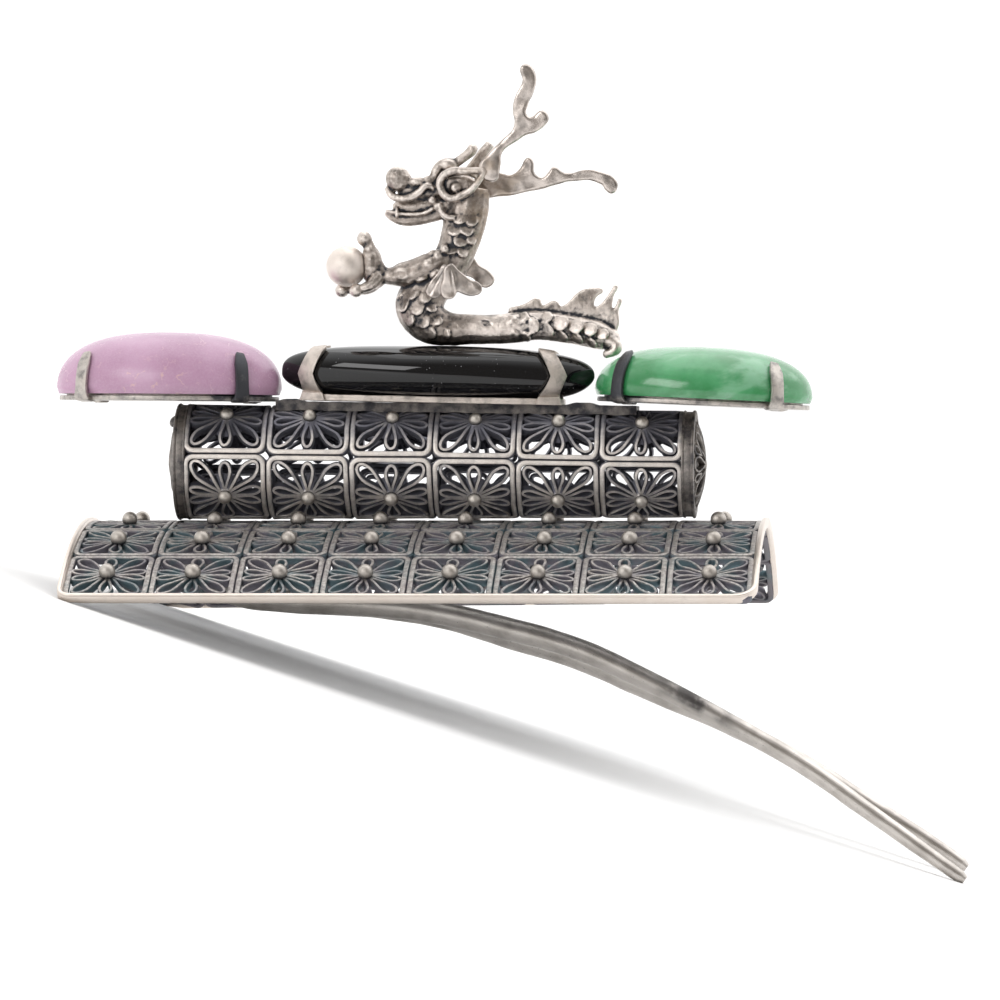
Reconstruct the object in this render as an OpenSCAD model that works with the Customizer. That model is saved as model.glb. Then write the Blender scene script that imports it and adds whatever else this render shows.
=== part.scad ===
// Cheopji hair ornament: an arched filigree plate that lies on the parting, an openwork
// drum with three stones on top of it, a cast dragon that holds a pearl, and a two-tined
// hair fork. Lengths are in millimetres. Upright, X runs along the plate, the wearer's
// head lies below the arch, and Z = 0 is the crest of the arch. The finished part is then
// laid down as it rests by itself, on the plate's left edge and on the tips of the fork.

/* [Base plate] */
// Side of one square filigree tile of the plate
tile_pitch = 8.4; // [8:0.1:8.8]
// Tiles along the plate
plate_columns = 8; // [8:1:9]
// Radius of the plate's arch, at the middle of its wires
arch_radius = 42; // [40:0.5:48]
// Thickness of the filigree sheet
sheet_t = 0.4; // [0.3:0.05:0.45]
// Diameter of the silver granules
granule_d = 1.6; // [1.2:0.1:1.8]
// Width of the bright rim band
rim_w = 0.6; // [0.5:0.1:0.8]
// Height of the bright rim band
rim_h = 0.8; // [0.7:0.05:0.9]

/* [Drum] */
// Length of one tile of the drum
drum_pitch = 8.3; // [8:0.1:8.5]
// Columns of tiles along the drum
drum_columns = 6; // [5:1:6]
// Radius of the drum at the middle of its wall
drum_radius = 5.25; // [5:0.05:5.25]
// Height of the drum's axis over the plate's crest
drum_axis_z = 6.05; // [6.05:0.05:6.4]
// Fall of the drum to the right, in degrees
drum_tilt = 0.3; // [0:0.05:0.3]
// How much the drum's radius falls per millimetre towards its right end
drum_taper = 0.009; // [0:0.001:0.01]
// Turn of each column against the one before it, in degrees
drum_twist = 1.2; // [0:0.1:1.2]
// Bulge of the domed end caps
cap_bulge = 1.2; // [0.6:0.1:1.3]

/* [Stones] */
// Length of the lilac oval stone
lilac_length = 22.7; // [20:0.1:22.8]
// Height of the lilac oval stone
lilac_height = 6.1; // [5:0.1:7]
// Length of the black pointed stone
black_length = 31.4; // [30:0.2:31.6]
// Width of the black pointed stone
black_width = 11; // [9:0.5:12]
// Length of the green oval stone
green_length = 21.8; // [20:0.1:22]
// Height of the green oval stone
green_height = 5.1; // [4:0.1:6]
// Width of both oval stones
oval_width = 16; // [13:0.5:17]
// Thickness of the seats' back plates
seat_t = 0.45; // [0.3:0.05:0.5]
// Width of a prong
prong_w = 1.4; // [1:0.1:1.8]
// Thickness of a prong
prong_t = 0.45; // [0.3:0.05:0.6]

/* [Hair fork] */
// Distance between the two tines at their root
tine_gap = 11; // [10:0.5:12]
// Thickness of a tine at its root
tine_d = 2.3; // [1.8:0.1:2.4]

/* [Dragon] */
// Diameter of the pearl in the claw
pearl_d = 4.1; // [3.6:0.1:4.1]
// Thickness of the antlers and fins
blade_t = 0.55; // [0.4:0.05:0.6]

/* [Hidden] */
$fn = 96;
plate_rows = 6;
drum_rows = 4;
clear = 0.05;
tile_angle = 2 * asin(tile_pitch / 2 / arch_radius);
rim_foot = 0.15;
plate_half_x = plate_columns * tile_pitch / 2 + rim_w - 0.1;
edge_angle = plate_rows / 2 * tile_angle;
plate_half_y = arch_radius * sin(edge_angle) + rim_w / 2;
corner_r = 2.5;

// Lowest points of the plate's rounded left corner, and the lowest one of the front tine's tip
tip_half = 0.58 * tine_d / 2 * 0.92;
tip_low = [53.2 - 0.59 * tip_half, -34.75 - 0.81 * tip_half];
corner_low = [for (a = [0:5:90])
    let (y = plate_half_y - corner_r * (1 - sin(a)))
    [-plate_half_x + corner_r * (1 - cos(a)), sqrt(pow(arch_radius - rim_foot, 2) - y * y) - arch_radius]];

// Laid down, the line through both becomes level, and the middle of the part is over the origin
rest_tilt = min([for (p = corner_low) atan((p[1] - tip_low[1]) / (tip_low[0] - p[0]))]);
rest_lift = -tip_low[0] * sin(rest_tilt) - tip_low[1] * cos(rest_tilt);
rest_x = -11.13;

// Places of the drum, which is a little thinner at its right end, and of what it carries
drum_x = 0.95;
drum_length = drum_columns * drum_pitch + 2.2;
drum_phase = -38;
cap_inset = 0.3;
drum_outer = drum_radius + 0.3;
deck_left = -15.1;
deck_right = 21;
deck_w = 4.6;
deck_t = 0.3;
deck_z = drum_axis_z + drum_outer + clear;
seat_rise = 0.45;
seat_z = deck_z + seat_rise;
dome = 2.5;

// Turns the upright model into the way it rests on a table
module at_rest() {
    translate([rest_x, 0, rest_lift])
        rotate([0, -rest_tilt, 0])
            children();
}

// The drum's own frame: its axis is X, and its middle is the origin
module on_drum() {
    translate([drum_x, 0, drum_axis_z])
        rotate([0, drum_tilt, 0])
            children();
}

function unit(v) = v / norm(v);
function power(v, e) = sign(v) * pow(abs(v), e);

// A closed solid through rings with the same number of points each
module loft(rings) {
    sides = len(rings[0]);
    last = len(rings) - 1;
    points = [for (ring = rings) each ring];
    walls = [for (i = [0:last - 1], j = [0:sides - 1])
        [i * sides + j, i * sides + (j + 1) % sides, (i + 1) * sides + (j + 1) % sides, (i + 1) * sides + j]];
    start = [for (j = [0:sides - 1]) sides - 1 - j];
    end = [for (j = [0:sides - 1]) last * sides + j];
    polyhedron(points, concat([start], walls, [end]), convexity = 6);
}

// One turn of a rule between table rows: Catmull-Rom, with steps per row
function spline(a, b, c, d, t) = 0.5 * ((2 * b) + (c - a) * t + (2 * a - 5 * b + 4 * c - d) * t * t
    + (3 * b - a - 3 * c + d) * t * t * t);
function smooth(rows, steps) = concat(
    [for (i = [0:len(rows) - 2], k = [0:steps - 1])
        spline(rows[max(i - 1, 0)], rows[i], rows[i + 1], rows[min(i + 2, len(rows) - 1)], k / steps)],
    [rows[len(rows) - 1]]);
function along(rows, i) = unit([for (k = [0:2])
    rows[min(i + 1, len(rows) - 1)][k] - rows[max(i - 1, 0)][k]]);

// A wire through rows of x, y, z, half_width, half_height
module wire(rows, sides) {
    loft([for (i = [0:len(rows) - 1])
        let (ahead = along(rows, i), side = unit(cross(ahead, [0, 0, 1])), up = cross(side, ahead))
        [for (j = [0:sides - 1])
            let (a = 360 * j / sides)
            [rows[i][0], rows[i][1], rows[i][2]] + side * cos(a) * rows[i][3] + up * sin(a) * rows[i][4]]]);
}

// A flat strap over a surface, through rows of a point and its outward normal
module strap(rows, w, t, gap) {
    loft([for (i = [0:len(rows) - 1])
        let (
            ahead = unit(rows[min(i + 1, len(rows) - 1)][0] - rows[max(i - 1, 0)][0]),
            out = rows[i][1],
            side = unit(cross(ahead, out)) * w / 2,
            low = rows[i][0] + out * gap,
            high = low + out * t)
        [low - side, low + side, high + side * 0.8, high - side * 0.8]]);
}

// Outline of the gap in a filigree tile: all round a central disc that a short neck holds
module plate_tile_gap() {
    difference() {
        intersection() {
            square(tile_pitch - 1.2, center = true);
            circle(tile_pitch * 0.545);
        }
        circle(granule_d * 0.9);
        translate([0, -tile_pitch / 2])
            square([0.8, tile_pitch / 2]);
    }
}

// A drum tile has two gaps, one on each side of a bar that holds the central disc
module drum_tile_gap() {
    difference() {
        intersection() {
            square(drum_pitch - 1.2, center = true);
            circle(drum_pitch * 0.545);
        }
        circle(granule_d * 0.9);
        square([drum_pitch, 0.8], center = true);
    }
}

module rounded_plan(half_x, half_y, r) {
    square([2 * half_x - 2 * r, 2 * half_y], center = true);
    square([2 * half_x, 2 * half_y - 2 * r], center = true);
    for (sx = [-1, 1], sy = [-1, 1])
        translate([sx * (half_x - r), sy * (half_y - r)])
            circle(r);
}

// A band that bends over the arch: from x0 to x1, between two heights over the arch radius
module arch_band(x0, x1, low, high, angle) {
    translate([0, 0, -arch_radius])
        rotate([0, 90, 0])
            rotate([0, 0, 180 - angle / 2])
                rotate_extrude(angle = angle)
                    translate([arch_radius + low, x0])
                        square([high - low, x1 - x0]);
}

// Puts its children on the arch, at this length and this angle from the crest
module on_arch(x, angle) {
    translate([x, 0, -arch_radius])
        rotate([angle, 0, 0])
            translate([0, 0, arch_radius])
                children();
}

// Middle of each tile of the plate
function plate_x(column) = (column - (plate_columns - 1) / 2) * tile_pitch;
function plate_angle(row) = (row - (plate_rows - 1) / 2) * tile_angle;

module base_plate() {
    color("silver")
        at_rest() {
            difference() {
                intersection() {
                    arch_band(-plate_half_x, plate_half_x, -sheet_t / 2, sheet_t / 2, 2 * edge_angle + 4);
                    translate([0, 0, -20])
                        linear_extrude(30)
                            rounded_plan(plate_half_x - rim_w / 2, plate_half_y - rim_w / 2, 2);
                }
                for (column = [0:plate_columns - 1], row = [0:plate_rows - 1])
                    on_arch(plate_x(column), plate_angle(row))
                        translate([0, 0, -2])
                            linear_extrude(4)
                                plate_tile_gap();
            }
            plate_ribs();
            plate_granules();
            plate_rim();
        }
}

// Raised wires between the tiles
module plate_ribs() {
    for (column = [1:plate_columns - 1])
        translate([plate_x(column) - tile_pitch / 2, 0, 0])
            arch_band(-0.3, 0.3, -sheet_t / 2 - 0.05, sheet_t / 2 + 0.05, 2 * edge_angle - 0.6);
    for (row = [1:plate_rows - 1])
        on_arch(0, plate_angle(row) - tile_angle / 2)
            translate([-plate_half_x + rim_w / 2, -0.3, -sheet_t / 2 - 0.07])
                cube([2 * plate_half_x - rim_w, 0.6, sheet_t + 0.14]);
}

module plate_granules() {
    for (column = [0:plate_columns - 1], row = [0:plate_rows - 1])
        on_arch(plate_x(column), plate_angle(row))
            translate([0, 0, granule_d / 2 - 0.02])
                sphere(d = granule_d, $fn = 40);
}

module plate_rim() {
    intersection() {
        arch_band(-plate_half_x - 1, plate_half_x + 1, -rim_foot, rim_h - rim_foot, 2 * edge_angle + 8);
        translate([0, 0, -20])
            linear_extrude(30)
                difference() {
                    rounded_plan(plate_half_x, plate_half_y, corner_r);
                    rounded_plan(plate_half_x - rim_w, plate_half_y - rim_w, 2);
                }
    }
}

// Middle of each column of the drum, and the turn of its tiles
function drum_tile_x(column) = (column - (drum_columns - 1) / 2) * drum_pitch;
function drum_r(x) = drum_radius - drum_taper * x;
function drum_turn(column) = drum_phase - (column - (drum_columns - 1) / 2) * drum_twist;

// Puts its children on the drum's wall: angle 0 is the front, and 90 is the top
module round_drum(x, angle) {
    translate([x, 0, 0])
        rotate([90 - angle, 0, 0])
            children();
}

module drum() {
    color("dimgray")
        at_rest()
            on_drum() {
                difference() {
                    rotate([0, 90, 0])
                        cylinder(r1 = drum_r(-drum_length / 2) + 0.2, r2 = drum_r(drum_length / 2) + 0.2,
                            h = drum_length - 0.4, center = true);
                    rotate([0, 90, 0])
                        cylinder(r1 = drum_r(-drum_length / 2) - 0.2, r2 = drum_r(drum_length / 2) - 0.2,
                            h = drum_length + 1, center = true);
                    for (column = [0:drum_columns - 1], row = [0:drum_rows - 1])
                        round_drum(drum_tile_x(column), drum_turn(column) + 90 * row)
                            translate([0, 0, drum_radius - 3])
                                linear_extrude(6)
                                    drum_tile_gap();
                }
                drum_ribs();
                drum_rings();
                drum_granules();
            }
}

// Raised wires along the drum, a short one at each column, turned with it
module drum_ribs() {
    for (column = [0:drum_columns - 1], row = [0:drum_rows - 1])
        round_drum(drum_tile_x(column), drum_turn(column) + 45 + 90 * row)
            translate([-drum_pitch / 2, -0.3, drum_r(drum_tile_x(column)) - 0.25])
                cube([drum_pitch, 0.6, 0.55]);
}

// Rings round the drum between the columns, and stronger ones at its ends
module drum_rings() {
    for (column = [1:drum_columns - 1])
        let (x = drum_tile_x(column) - drum_pitch / 2)
            translate([x, 0, 0])
                ring_x(drum_r(x) - 0.22, drum_r(x) + 0.25, 0.6);
    for (end = [-1, 1])
        let (x = end * (drum_length - 1.3) / 2)
            translate([x, 0, 0])
                ring_x(drum_r(x) - 0.4, drum_r(x) + 0.27, 1.3);
}

module ring_x(inner, outer, w) {
    rotate([0, 90, 0])
        rotate_extrude()
            translate([inner, -w / 2])
                square([outer - inner, w]);
}

// The row at the back below has bare discs, because it lies close over the plate
module drum_granules() {
    for (column = [0:drum_columns - 1], row = [0:drum_rows - 2])
        round_drum(drum_tile_x(column), drum_turn(column) + 90 * row)
            translate([0, 0, drum_r(drum_tile_x(column)) + granule_d / 2 - 0.1])
                sphere(d = granule_d, $fn = 40);
}

// A domed openwork disc that closes one end of the drum, bulging to the right
module drum_cap(end) {
    rim_r = drum_r(end * (drum_length - 1.3) / 2) - 0.4 - clear;
    ball_r = (rim_r * rim_r + cap_bulge * cap_bulge) / (2 * cap_bulge);
    difference() {
        rotate([0, 90, 0])
            rotate_extrude()
                intersection() {
                    translate([0, cap_bulge - ball_r])
                        difference() {
                            circle(ball_r, $fn = 180);
                            circle(ball_r - 0.45, $fn = 180);
                        }
                    translate([0, -0.4])
                        square([rim_r, 2]);
                }
        for (petal = [0:7])
            rotate([petal * 45 + 22.5, 0, 0])
                translate([-2, 0, rim_r * 0.6])
                    rotate([0, 90, 0])
                        cylinder(r = rim_r * 0.18, h = 5);
    }
}

module drum_cap_left() {
    color("dimgray")
        at_rest()
            on_drum()
                translate([-drum_length / 2 + cap_inset, 0, 0])
                    mirror([1, 0, 0])
                        drum_cap(-1);
}

module drum_cap_right() {
    color("dimgray")
        at_rest()
            on_drum()
                translate([drum_length / 2 - cap_inset, 0, 0])
                    drum_cap(1);
}

// The thin strip over the drum that carries the three seats
module deck_bar() {
    color("dimgray")
        at_rest()
            on_drum()
                translate([0, 0, deck_z - drum_axis_z])
                    rotate([0, atan(drum_taper), 0])
                        translate([deck_left - drum_x, -deck_w / 2, 0])
                            cube([deck_right - deck_left, deck_w, deck_t]);
}

// Oval cabochon: a flat base and a dome whose outline is a squared ellipse
module cabochon(half_x, half_y, height) {
    levels = [0, 14, 27, 39, 50, 60, 69, 77, 84];
    sides = 40;
    loft([for (level = levels)
        let (grow = power(cos(level), 2 / dome), z = height * power(sin(level), 2 / dome))
        [for (j = [0:sides - 1])
            [half_x * grow * cos(360 * j / sides), -half_y * grow * sin(360 * j / sides), z]]]);
}

// A point on the dome of a cabochon, at this way round and this level, with its normal
function dome_row(half_x, half_y, height, way, level) =
    let (
        grow = power(cos(level), 2 / dome),
        p = [half_x * grow * cos(way), half_y * grow * sin(way), height * power(sin(level), 2 / dome)],
        q = pow(grow, dome - 2),
        slope = [q * p[0] / pow(half_x, 2), q * p[1] / pow(half_y, 2), pow(p[2] / height, dome - 1) / height])
    [p, unit(slope)];

// Way round of a prong at this level: it rises steeply, so it drifts towards the stone's end
function prong_way(way, level) =
    let (
        grow = power(cos(level), 2 / dome),
        turn = acos(cos(way) * (1 - prong_lean * (1 - grow)) / grow))
    way < 180 ? turn : 360 - turn;

// The back plate of an oval seat, with four prongs that curve in over the stone.
// Each prong has its way round the stone and the level that it reaches
module oval_seat(half_x, half_y, height, lift, prongs) {
    plate = [for (a = [0:7.5:352.5]) [(half_x - 0.7) * cos(a), (half_y - 0.7) * sin(a)]];
    linear_extrude(seat_t)
        polygon(plate);
    for (prong = prongs) {
        foot = dome_row(half_x, half_y, height, prong[0], 0);
        facing = atan2(foot[1][1], foot[1][0]);
        translate([foot[0][0], foot[0][1], 0])
            rotate([0, 0, facing])
                translate([-2, -prong_w * 0.4, 0.02])
                    cube([2 + 0.1 + prong_t * 0.8, prong_w * 0.8, seat_t - 0.04]);
        strap(concat(
            [for (z = [0, seat_t + lift / 2]) [[foot[0][0], foot[0][1], z], foot[1]]],
            [for (share = [0.2, 0.45, 0.68, 0.86, 1])
                let (
                    level = share * prong[1],
                    row = dome_row(half_x, half_y, height, prong_way(prong[0], level), level))
                [row[0] + [0, 0, seat_t + lift], row[1]]]),
            prong_w, prong_t, 0.1);
    }
}

// Places of the two oval seats, and the small gap under their stones
oval_lift = 0.3;
prong_lean = 0.4;
lilac_at = [-26, 0, seat_z + 0.2];
lilac_tilt = 0.5;
lilac_prongs = [[46, 33], [134, 33], [226, 33], [314, 33]];
green_at = [27.6, 0, seat_z - 0.33];
green_tilt = 2.6;
green_prongs = [[47, 42], [138, 42], [222, 46], [313, 38]];

module at_lilac() {
    translate(lilac_at)
        rotate([0, lilac_tilt, 0])
            children();
}

module seat_lilac() {
    color("silver")
        at_rest()
            at_lilac()
                oval_seat(lilac_length / 2, oval_width / 2, lilac_height, oval_lift, lilac_prongs);
}

module stone_lilac() {
    color("plum")
        at_rest()
            at_lilac()
                translate([0, 0, seat_t + oval_lift])
                    cabochon(lilac_length / 2, oval_width / 2, lilac_height);
}

module at_green() {
    translate(green_at)
        rotate([0, green_tilt, 0])
            children();
}

module seat_green() {
    color("silver")
        at_rest()
            at_green()
                oval_seat(green_length / 2, oval_width / 2, green_height, oval_lift, green_prongs);
}

module stone_green() {
    color("mediumseagreen")
        at_rest()
            at_green()
                translate([0, 0, seat_t + oval_lift])
                    cabochon(green_length / 2, oval_width / 2, green_height);
}

// The long black stone: pointed at both ends, fuller at its left, with a flat underside.
// Its points lie on a line that falls less to the right than the underside does
black_x = 1;
black_up = 2.9;
black_down = 2.39;
black_wedge = 0.14;
black_tilt = 1.2;
black_z = seat_z - 0.02;
black_seat_t = 0.35;
black_base = black_seat_t + clear;
black_full_left = 3.3;
black_full_right = 2.55;
function black_full(t) = t < 0 ? black_full_left : black_full_right;
function black_half_y(t) = black_width / 2 * pow(1 - t * t, 0.75);
function black_row(t, a) =
    let (
        above = black_up * pow(1 - pow(abs(t), black_full(t)), 1 / black_full(t)),
        below = (black_down + black_wedge * t) * pow(1 - pow(t, 6), 0.6),
        rise = a > 0 ? above : below,
        w = black_half_y(t))
    [[t * black_length / 2, -w * power(cos(a), 2 / dome), black_wedge * t + rise * power(sin(a), 2 / dome)],
        unit([0.02 * sign(t), -power(cos(a), 2 - 2 / dome) / w, power(sin(a), 2 - 2 / dome) / rise])];

module at_black() {
    translate([black_x, 0, black_z])
        rotate([0, black_tilt, 0])
            children();
}

module stone_black() {
    color("#1c1c1f")
        at_rest()
            at_black()
                translate([0, 0, black_base + black_down])
                    loft([for (t = [-0.995, -0.97, -0.92, -0.84, -0.72, -0.55, -0.3, 0,
                            0.3, 0.55, 0.72, 0.84, 0.92, 0.97, 0.995])
                        [for (a = [0:12:348])
                            let (turn = a > 180 ? 360 - a : a, side = a > 180 ? -1 : 1)
                            let (row = black_row(t, 90 - turn)[0])
                            [row[0], -side * row[1], row[2]]]]);
}

// Its seat: a long plate with four prongs that wrap the stone from below to its top
module seat_black() {
    half_x = 12.8;
    half_y = 3.4;
    plate = [for (a = [0:7.5:352.5]) [half_x * power(cos(a), 0.5), half_y * power(sin(a), 0.5)]];
    color("silver")
        at_rest()
            at_black() {
                linear_extrude(black_seat_t)
                    polygon(plate);
                for (end = [-1, 1], side = [-1, 1])
                    mirror([0, side > 0 ? 1 : 0, 0])
                        black_prong(end);
            }
}

// Place of a black prong along the stone at this angle: its top and its foot lie further in
function black_prong_t(end, a) = end > 0
    ? 0.785 - 0.1 * max(a, 0) / 66 - 0.055 * max(-a, 0) / 38
    : -0.83 + 0.09 * max(a, 0) / 66 + 0.04 * max(-a, 0) / 38;

// Each edge of a prong follows the stone on its own, because the stone narrows to its end
module black_prong(end) {
    half_w = prong_w * 1.15 / black_length;
    gap = 0.12;
    lift = [0, 0, black_base + black_down];
    steps = [for (a = [-38:8:66]) [black_prong_t(end, a), a]];
    foot = black_row(black_prong_t(end, -38), -38)[0];
    edges = [for (step = steps)
        let (left = black_row(step[0] - half_w, step[1]), right = black_row(step[0] + half_w, step[1]))
        [left[0] + lift + left[1] * gap, right[0] + lift + right[1] * gap,
            right[0] + lift + right[1] * (gap + prong_t), left[0] + lift + left[1] * (gap + prong_t)]];
    ground = [for (p = edges[0]) [p[0], p[1], 0]];
    loft(concat([ground], edges));
    translate([foot[0] - prong_w / 2, foot[1] - 0.35, 0.02])
        cube([prong_w, 1.2, black_seat_t - 0.04]);
}

// The fork is one wire bent double. Its rows go along one tine from the closed end:
// x, height of the front tine, height of the rear tine, half thickness against the root's
TINE_ROWS = [
    [-25.5, -1.85, -1.85, 1],
    [-22.8, -4.4, -4.4, 1],
    [-19.5, -6.7, -6.8, 1],
    [-14, -7.7, -7.9, 1],
    [-6, -8, -8.4, 1],
    [1, -8.75, -9.5, 1],
    [8, -10.3, -11.6, 0.98],
    [15, -12.25, -13.8, 0.94],
    [22, -15.35, -16.9, 0.88],
    [29.5, -19.2, -20.1, 0.82],
    [37.2, -23.5, -24, 0.78],
    [45, -28.95, -28.8, 0.7],
    [50, -32.5, -31.9, 0.62],
    [53.2, -34.75, -34.1, 0.58],
    [53.9, -35.2, -34.6, 0.3]
];
bend_x = -25.5;
bend_z = -1.85;

function tine(side) = [for (row = smooth(TINE_ROWS, 2))
    [row[0], 0.5 + side * tine_gap / 2, side < 0 ? row[1] : row[2],
        row[3] * tine_d / 2, row[3] * tine_d / 2 * 0.92]];

module hair_fork() {
    front = tine(-1);
    rear = tine(1);
    last = len(front) - 1;
    bend = [for (a = [-72:18:72])
        [bend_x - tine_gap / 2 * cos(a), 0.5 + tine_gap / 2 * sin(a), bend_z, tine_d / 2, tine_d / 2 * 0.92]];
    color("lightgray")
        at_rest() {
            wire(concat([for (i = [0:last]) front[last - i]], bend, rear), 10);
            arch_band(-32, -24, -1.25, -0.38, 17);
        }
}

// Dragon tables: x, y, z, half thickness as seen from the front, half thickness in depth
NECK_ROWS = [
    [3.6, 0, 33.2, 2.1, 1.7], [3.7, 0, 30.5, 2.1, 1.8], [3.5, 0, 28.9, 2.1, 1.9],
    [2.9, 0, 27.4, 1.9, 1.9], [2.2, 0, 25.8, 1.8, 1.9], [1, 0, 24.6, 2, 2],
    [-0.3, 0, 23.1, 2.3, 2.1], [-0.7, 0, 21.8, 2.6, 2.2], [0.1, 0, 20.4, 2.4, 2.1]
];
TAIL_ROWS = [
    [0.1, 0, 20.4, 2.4, 2.1], [2, 0, 19.5, 1.65, 1.7], [4.4, -0.1, 19.4, 1.5, 1.6],
    [6.8, -0.2, 19.4, 1.5, 1.6], [9.2, -0.1, 19.6, 1.6, 1.5], [11.1, 0, 19.8, 1.5, 1.5],
    [13.1, 0.2, 19.6, 1.5, 1.4], [15.1, 0.3, 19.3, 1.5, 1.4], [16.9, 0.3, 18.9, 1.5, 1.3],
    [18.1, 0.2, 18.5, 1.35, 1.2], [18.6, 0, 17.9, 1, 0.9], [18, -0.1, 17.3, 0.6, 0.6]
];
ARM_ROWS = [
    [1.2, -1, 26.1, 0.9, 1.2], [-0.4, -1.1, 25.2, 1.2, 1.2], [-2, -1.1, 24.7, 1.05, 1.1],
    [-3.5, -1, 24.6, 0.8, 0.9], [-4.8, -1, 24.8, 0.75, 0.8]
];
UPPER_FINGER = [[-4.8, -1, 24.9, 0.75, 0.8], [-5.3, -1, 26.5, 0.55, 0.6], [-5.6, -1, 27.6, 0.4, 0.5],
    [-6.2, -1, 28.4, 0.62, 0.6]];
LOWER_FINGER = [[-4.8, -1.4, 24.6, 0.65, 0.7], [-5.6, -2, 23.7, 0.5, 0.5], [-7, -2.1, 23.1, 0.6, 0.6]];
BACK_FINGER = [[-4.8, -0.6, 24.6, 0.65, 0.7], [-5.9, 0.1, 23.5, 0.5, 0.5], [-8.3, 0, 23.1, 0.6, 0.6]];
UPPER_JAW = [[2.4, 0, 33.5, 1.5, 1.6], [0.8, 0, 32.9, 1.1, 1.4], [-0.8, 0, 32.7, 1, 1.2],
    [-2.4, 0, 32.8, 1, 1.1], [-3.3, 0, 32.8, 0.7, 0.9]];
LOWER_JAW = [[2.4, 0, 32, 0.9, 1.3], [0.6, 0, 31.3, 0.55, 1.1], [-1.2, 0, 30.9, 0.45, 1],
    [-2.6, 0, 30.8, 0.5, 0.9], [-3.9, 0, 31.2, 0.4, 0.7]];
HORN = [[1, -0.6, 34.3, 0.6, 0.6], [2.5, -0.7, 35.6, 0.55, 0.55], [4.4, -0.7, 37.2, 0.55, 0.55]];
HORN_BACK = [[4, 0.6, 34.8, 0.8, 0.7], [5.4, 0.6, 36.6, 0.6, 0.5], [6.3, 0.6, 38, 0.5, 0.4]];
WHISKER = [[-3.4, -1, 33.5, 0.4, 0.4], [-2.4, -1.25, 33.1, 0.4, 0.4], [-1, -1.3, 33, 0.35, 0.35],
    [0.3, -1.5, 33.5, 0.3, 0.3]];
EYE_RING = [[5.5, -1.5, 34.9, 0.3, 0.3], [3.6, -1.8, 34.9, 0.3, 0.3], [1.9, -1.6, 34.6, 0.3, 0.3],
    [1.4, -1.5, 33.7, 0.3, 0.3], [2, -1.6, 32.7, 0.35, 0.35], [3.4, -1.8, 32.8, 0.3, 0.3],
    [4.6, -1.7, 33.6, 0.3, 0.3], [5.5, -1.5, 34.9, 0.3, 0.3]];

module ball(row, sides) {
    translate([row[0], row[1], row[2]])
        scale([1, row[4] / row[3], 1])
            sphere(row[3], $fn = sides);
}

// A chain of blended balls through the rows of a table
module limb(rows, sides) {
    for (i = [0:len(rows) - 2])
        hull() {
            ball(rows[i], sides);
            ball(rows[i + 1], sides);
        }
}

module both_sides() {
    children();
    mirror([0, 1, 0])
        children();
}

// Overlapping scales in raised rows over the chest and the tail, on both flanks
module scales(rows) {
    for (i = [1:len(rows) - 2], step = [0, 1])
        let (row = step == 0 ? rows[i] : (rows[i] + rows[i + 1]) / 2)
        for (side = [-1, 1], a = step == 0 ? [-32, 12] : [-10, 34])
            let (ahead = along(rows, i), up = cross([0, 1, 0], ahead))
            translate([row[0], row[1], row[2]]
                    + up * row[3] * sin(a) * 0.93 + [0, side * row[4] * cos(a) * 0.93, 0])
                rotate([0, 90 - atan2(ahead[2], -ahead[0]), 0])
                    scale([0.62, 0.3, 0.55])
                        sphere(1, $fn = 6);
}

// A flat sheet standing in the plane of X and Z, with its middle at this depth
module blade(outline, depth) {
    translate([0, depth, 0])
        rotate([90, 0, 0])
            linear_extrude(blade_t, center = true)
                polygon(outline);
}

DORSAL_SPINES = [[8.1, 21.5], [9.8, 22.1], [11.4, 22.4], [11.4, 22], [12.2, 22.3], [12.9, 22.3], [13.2, 21.8],
    [15.3, 23.2], [17.5, 23.4], [17.4, 22.8], [16.9, 22], [17.4, 21.8], [18.1, 23.1], [19, 23.8],
    [18.5, 22.3], [18.6, 21.4], [19.4, 22.5], [19.1, 21.5], [19, 18.8], [14, 19.6], [9, 20]];

module dragon() {
    color("gray")
        at_rest()
            difference() {
                union() {
                    limb(NECK_ROWS, 14);
                    limb(TAIL_ROWS, 12);
                    for (rows = [ARM_ROWS, UPPER_FINGER, LOWER_FINGER, BACK_FINGER])
                        limb(rows, 10);
                    scales(NECK_ROWS);
                    scales(TAIL_ROWS);
                    dragon_head();
                    blade(DORSAL_SPINES, 0.2);
                }
                under_dragon();
                pearl_seat();
            }
}

// The dragon stands on the flattened crest of the black stone
module under_dragon() {
    translate([black_x, 0, black_z + black_base + black_down + black_up + clear])
        rotate([0, black_tilt, 0])
            translate([-20, -10, -10])
                cube([30, 20, 10]);
}

module dragon_head() {
    limb(UPPER_JAW, 10);
    limb(LOWER_JAW, 10);
    limb(HORN, 8);
    limb(HORN_BACK, 8);
    both_sides() {
        limb(WHISKER, 6);
        limb(EYE_RING, 6);
        translate([-2.8, -0.6, 34.2])
            sphere(0.95, $fn = 14);
        translate([1.3, -1.5, 31.9])
            sphere(0.5, $fn = 10);
    }
}

pearl_x = -8;
pearl_y = -1;
pearl_z = 25.7;

// Room round the pearl in the claw
module pearl_seat() {
    translate([pearl_x, pearl_y, pearl_z])
        sphere(d = pearl_d + 2 * clear, $fn = 24);
}

module pearl() {
    color("silver")
        at_rest()
            translate([pearl_x, pearl_y, pearl_z])
                sphere(d = pearl_d);
}

module antler_upper() {
    color("gray")
        at_rest()
            blade([[9.9, 45.8], [9.5, 45.4], [9.7, 44.2], [8.9, 42.4], [8.7, 41], [8.9, 39.6], [7.5, 38.1],
                [6.2, 36.8], [5.4, 35.6], [5.6, 34.4], [7.2, 34.2], [7.5, 35.6], [7.7, 37], [8.8, 37.9],
                [10.1, 38.7], [11.2, 39], [12, 39.7], [12.3, 40.4], [11.7, 41.2], [10.6, 40.5], [10.1, 40.9],
                [10.3, 41.7], [10.8, 43], [11, 44.8]], -2.2);
}

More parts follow.
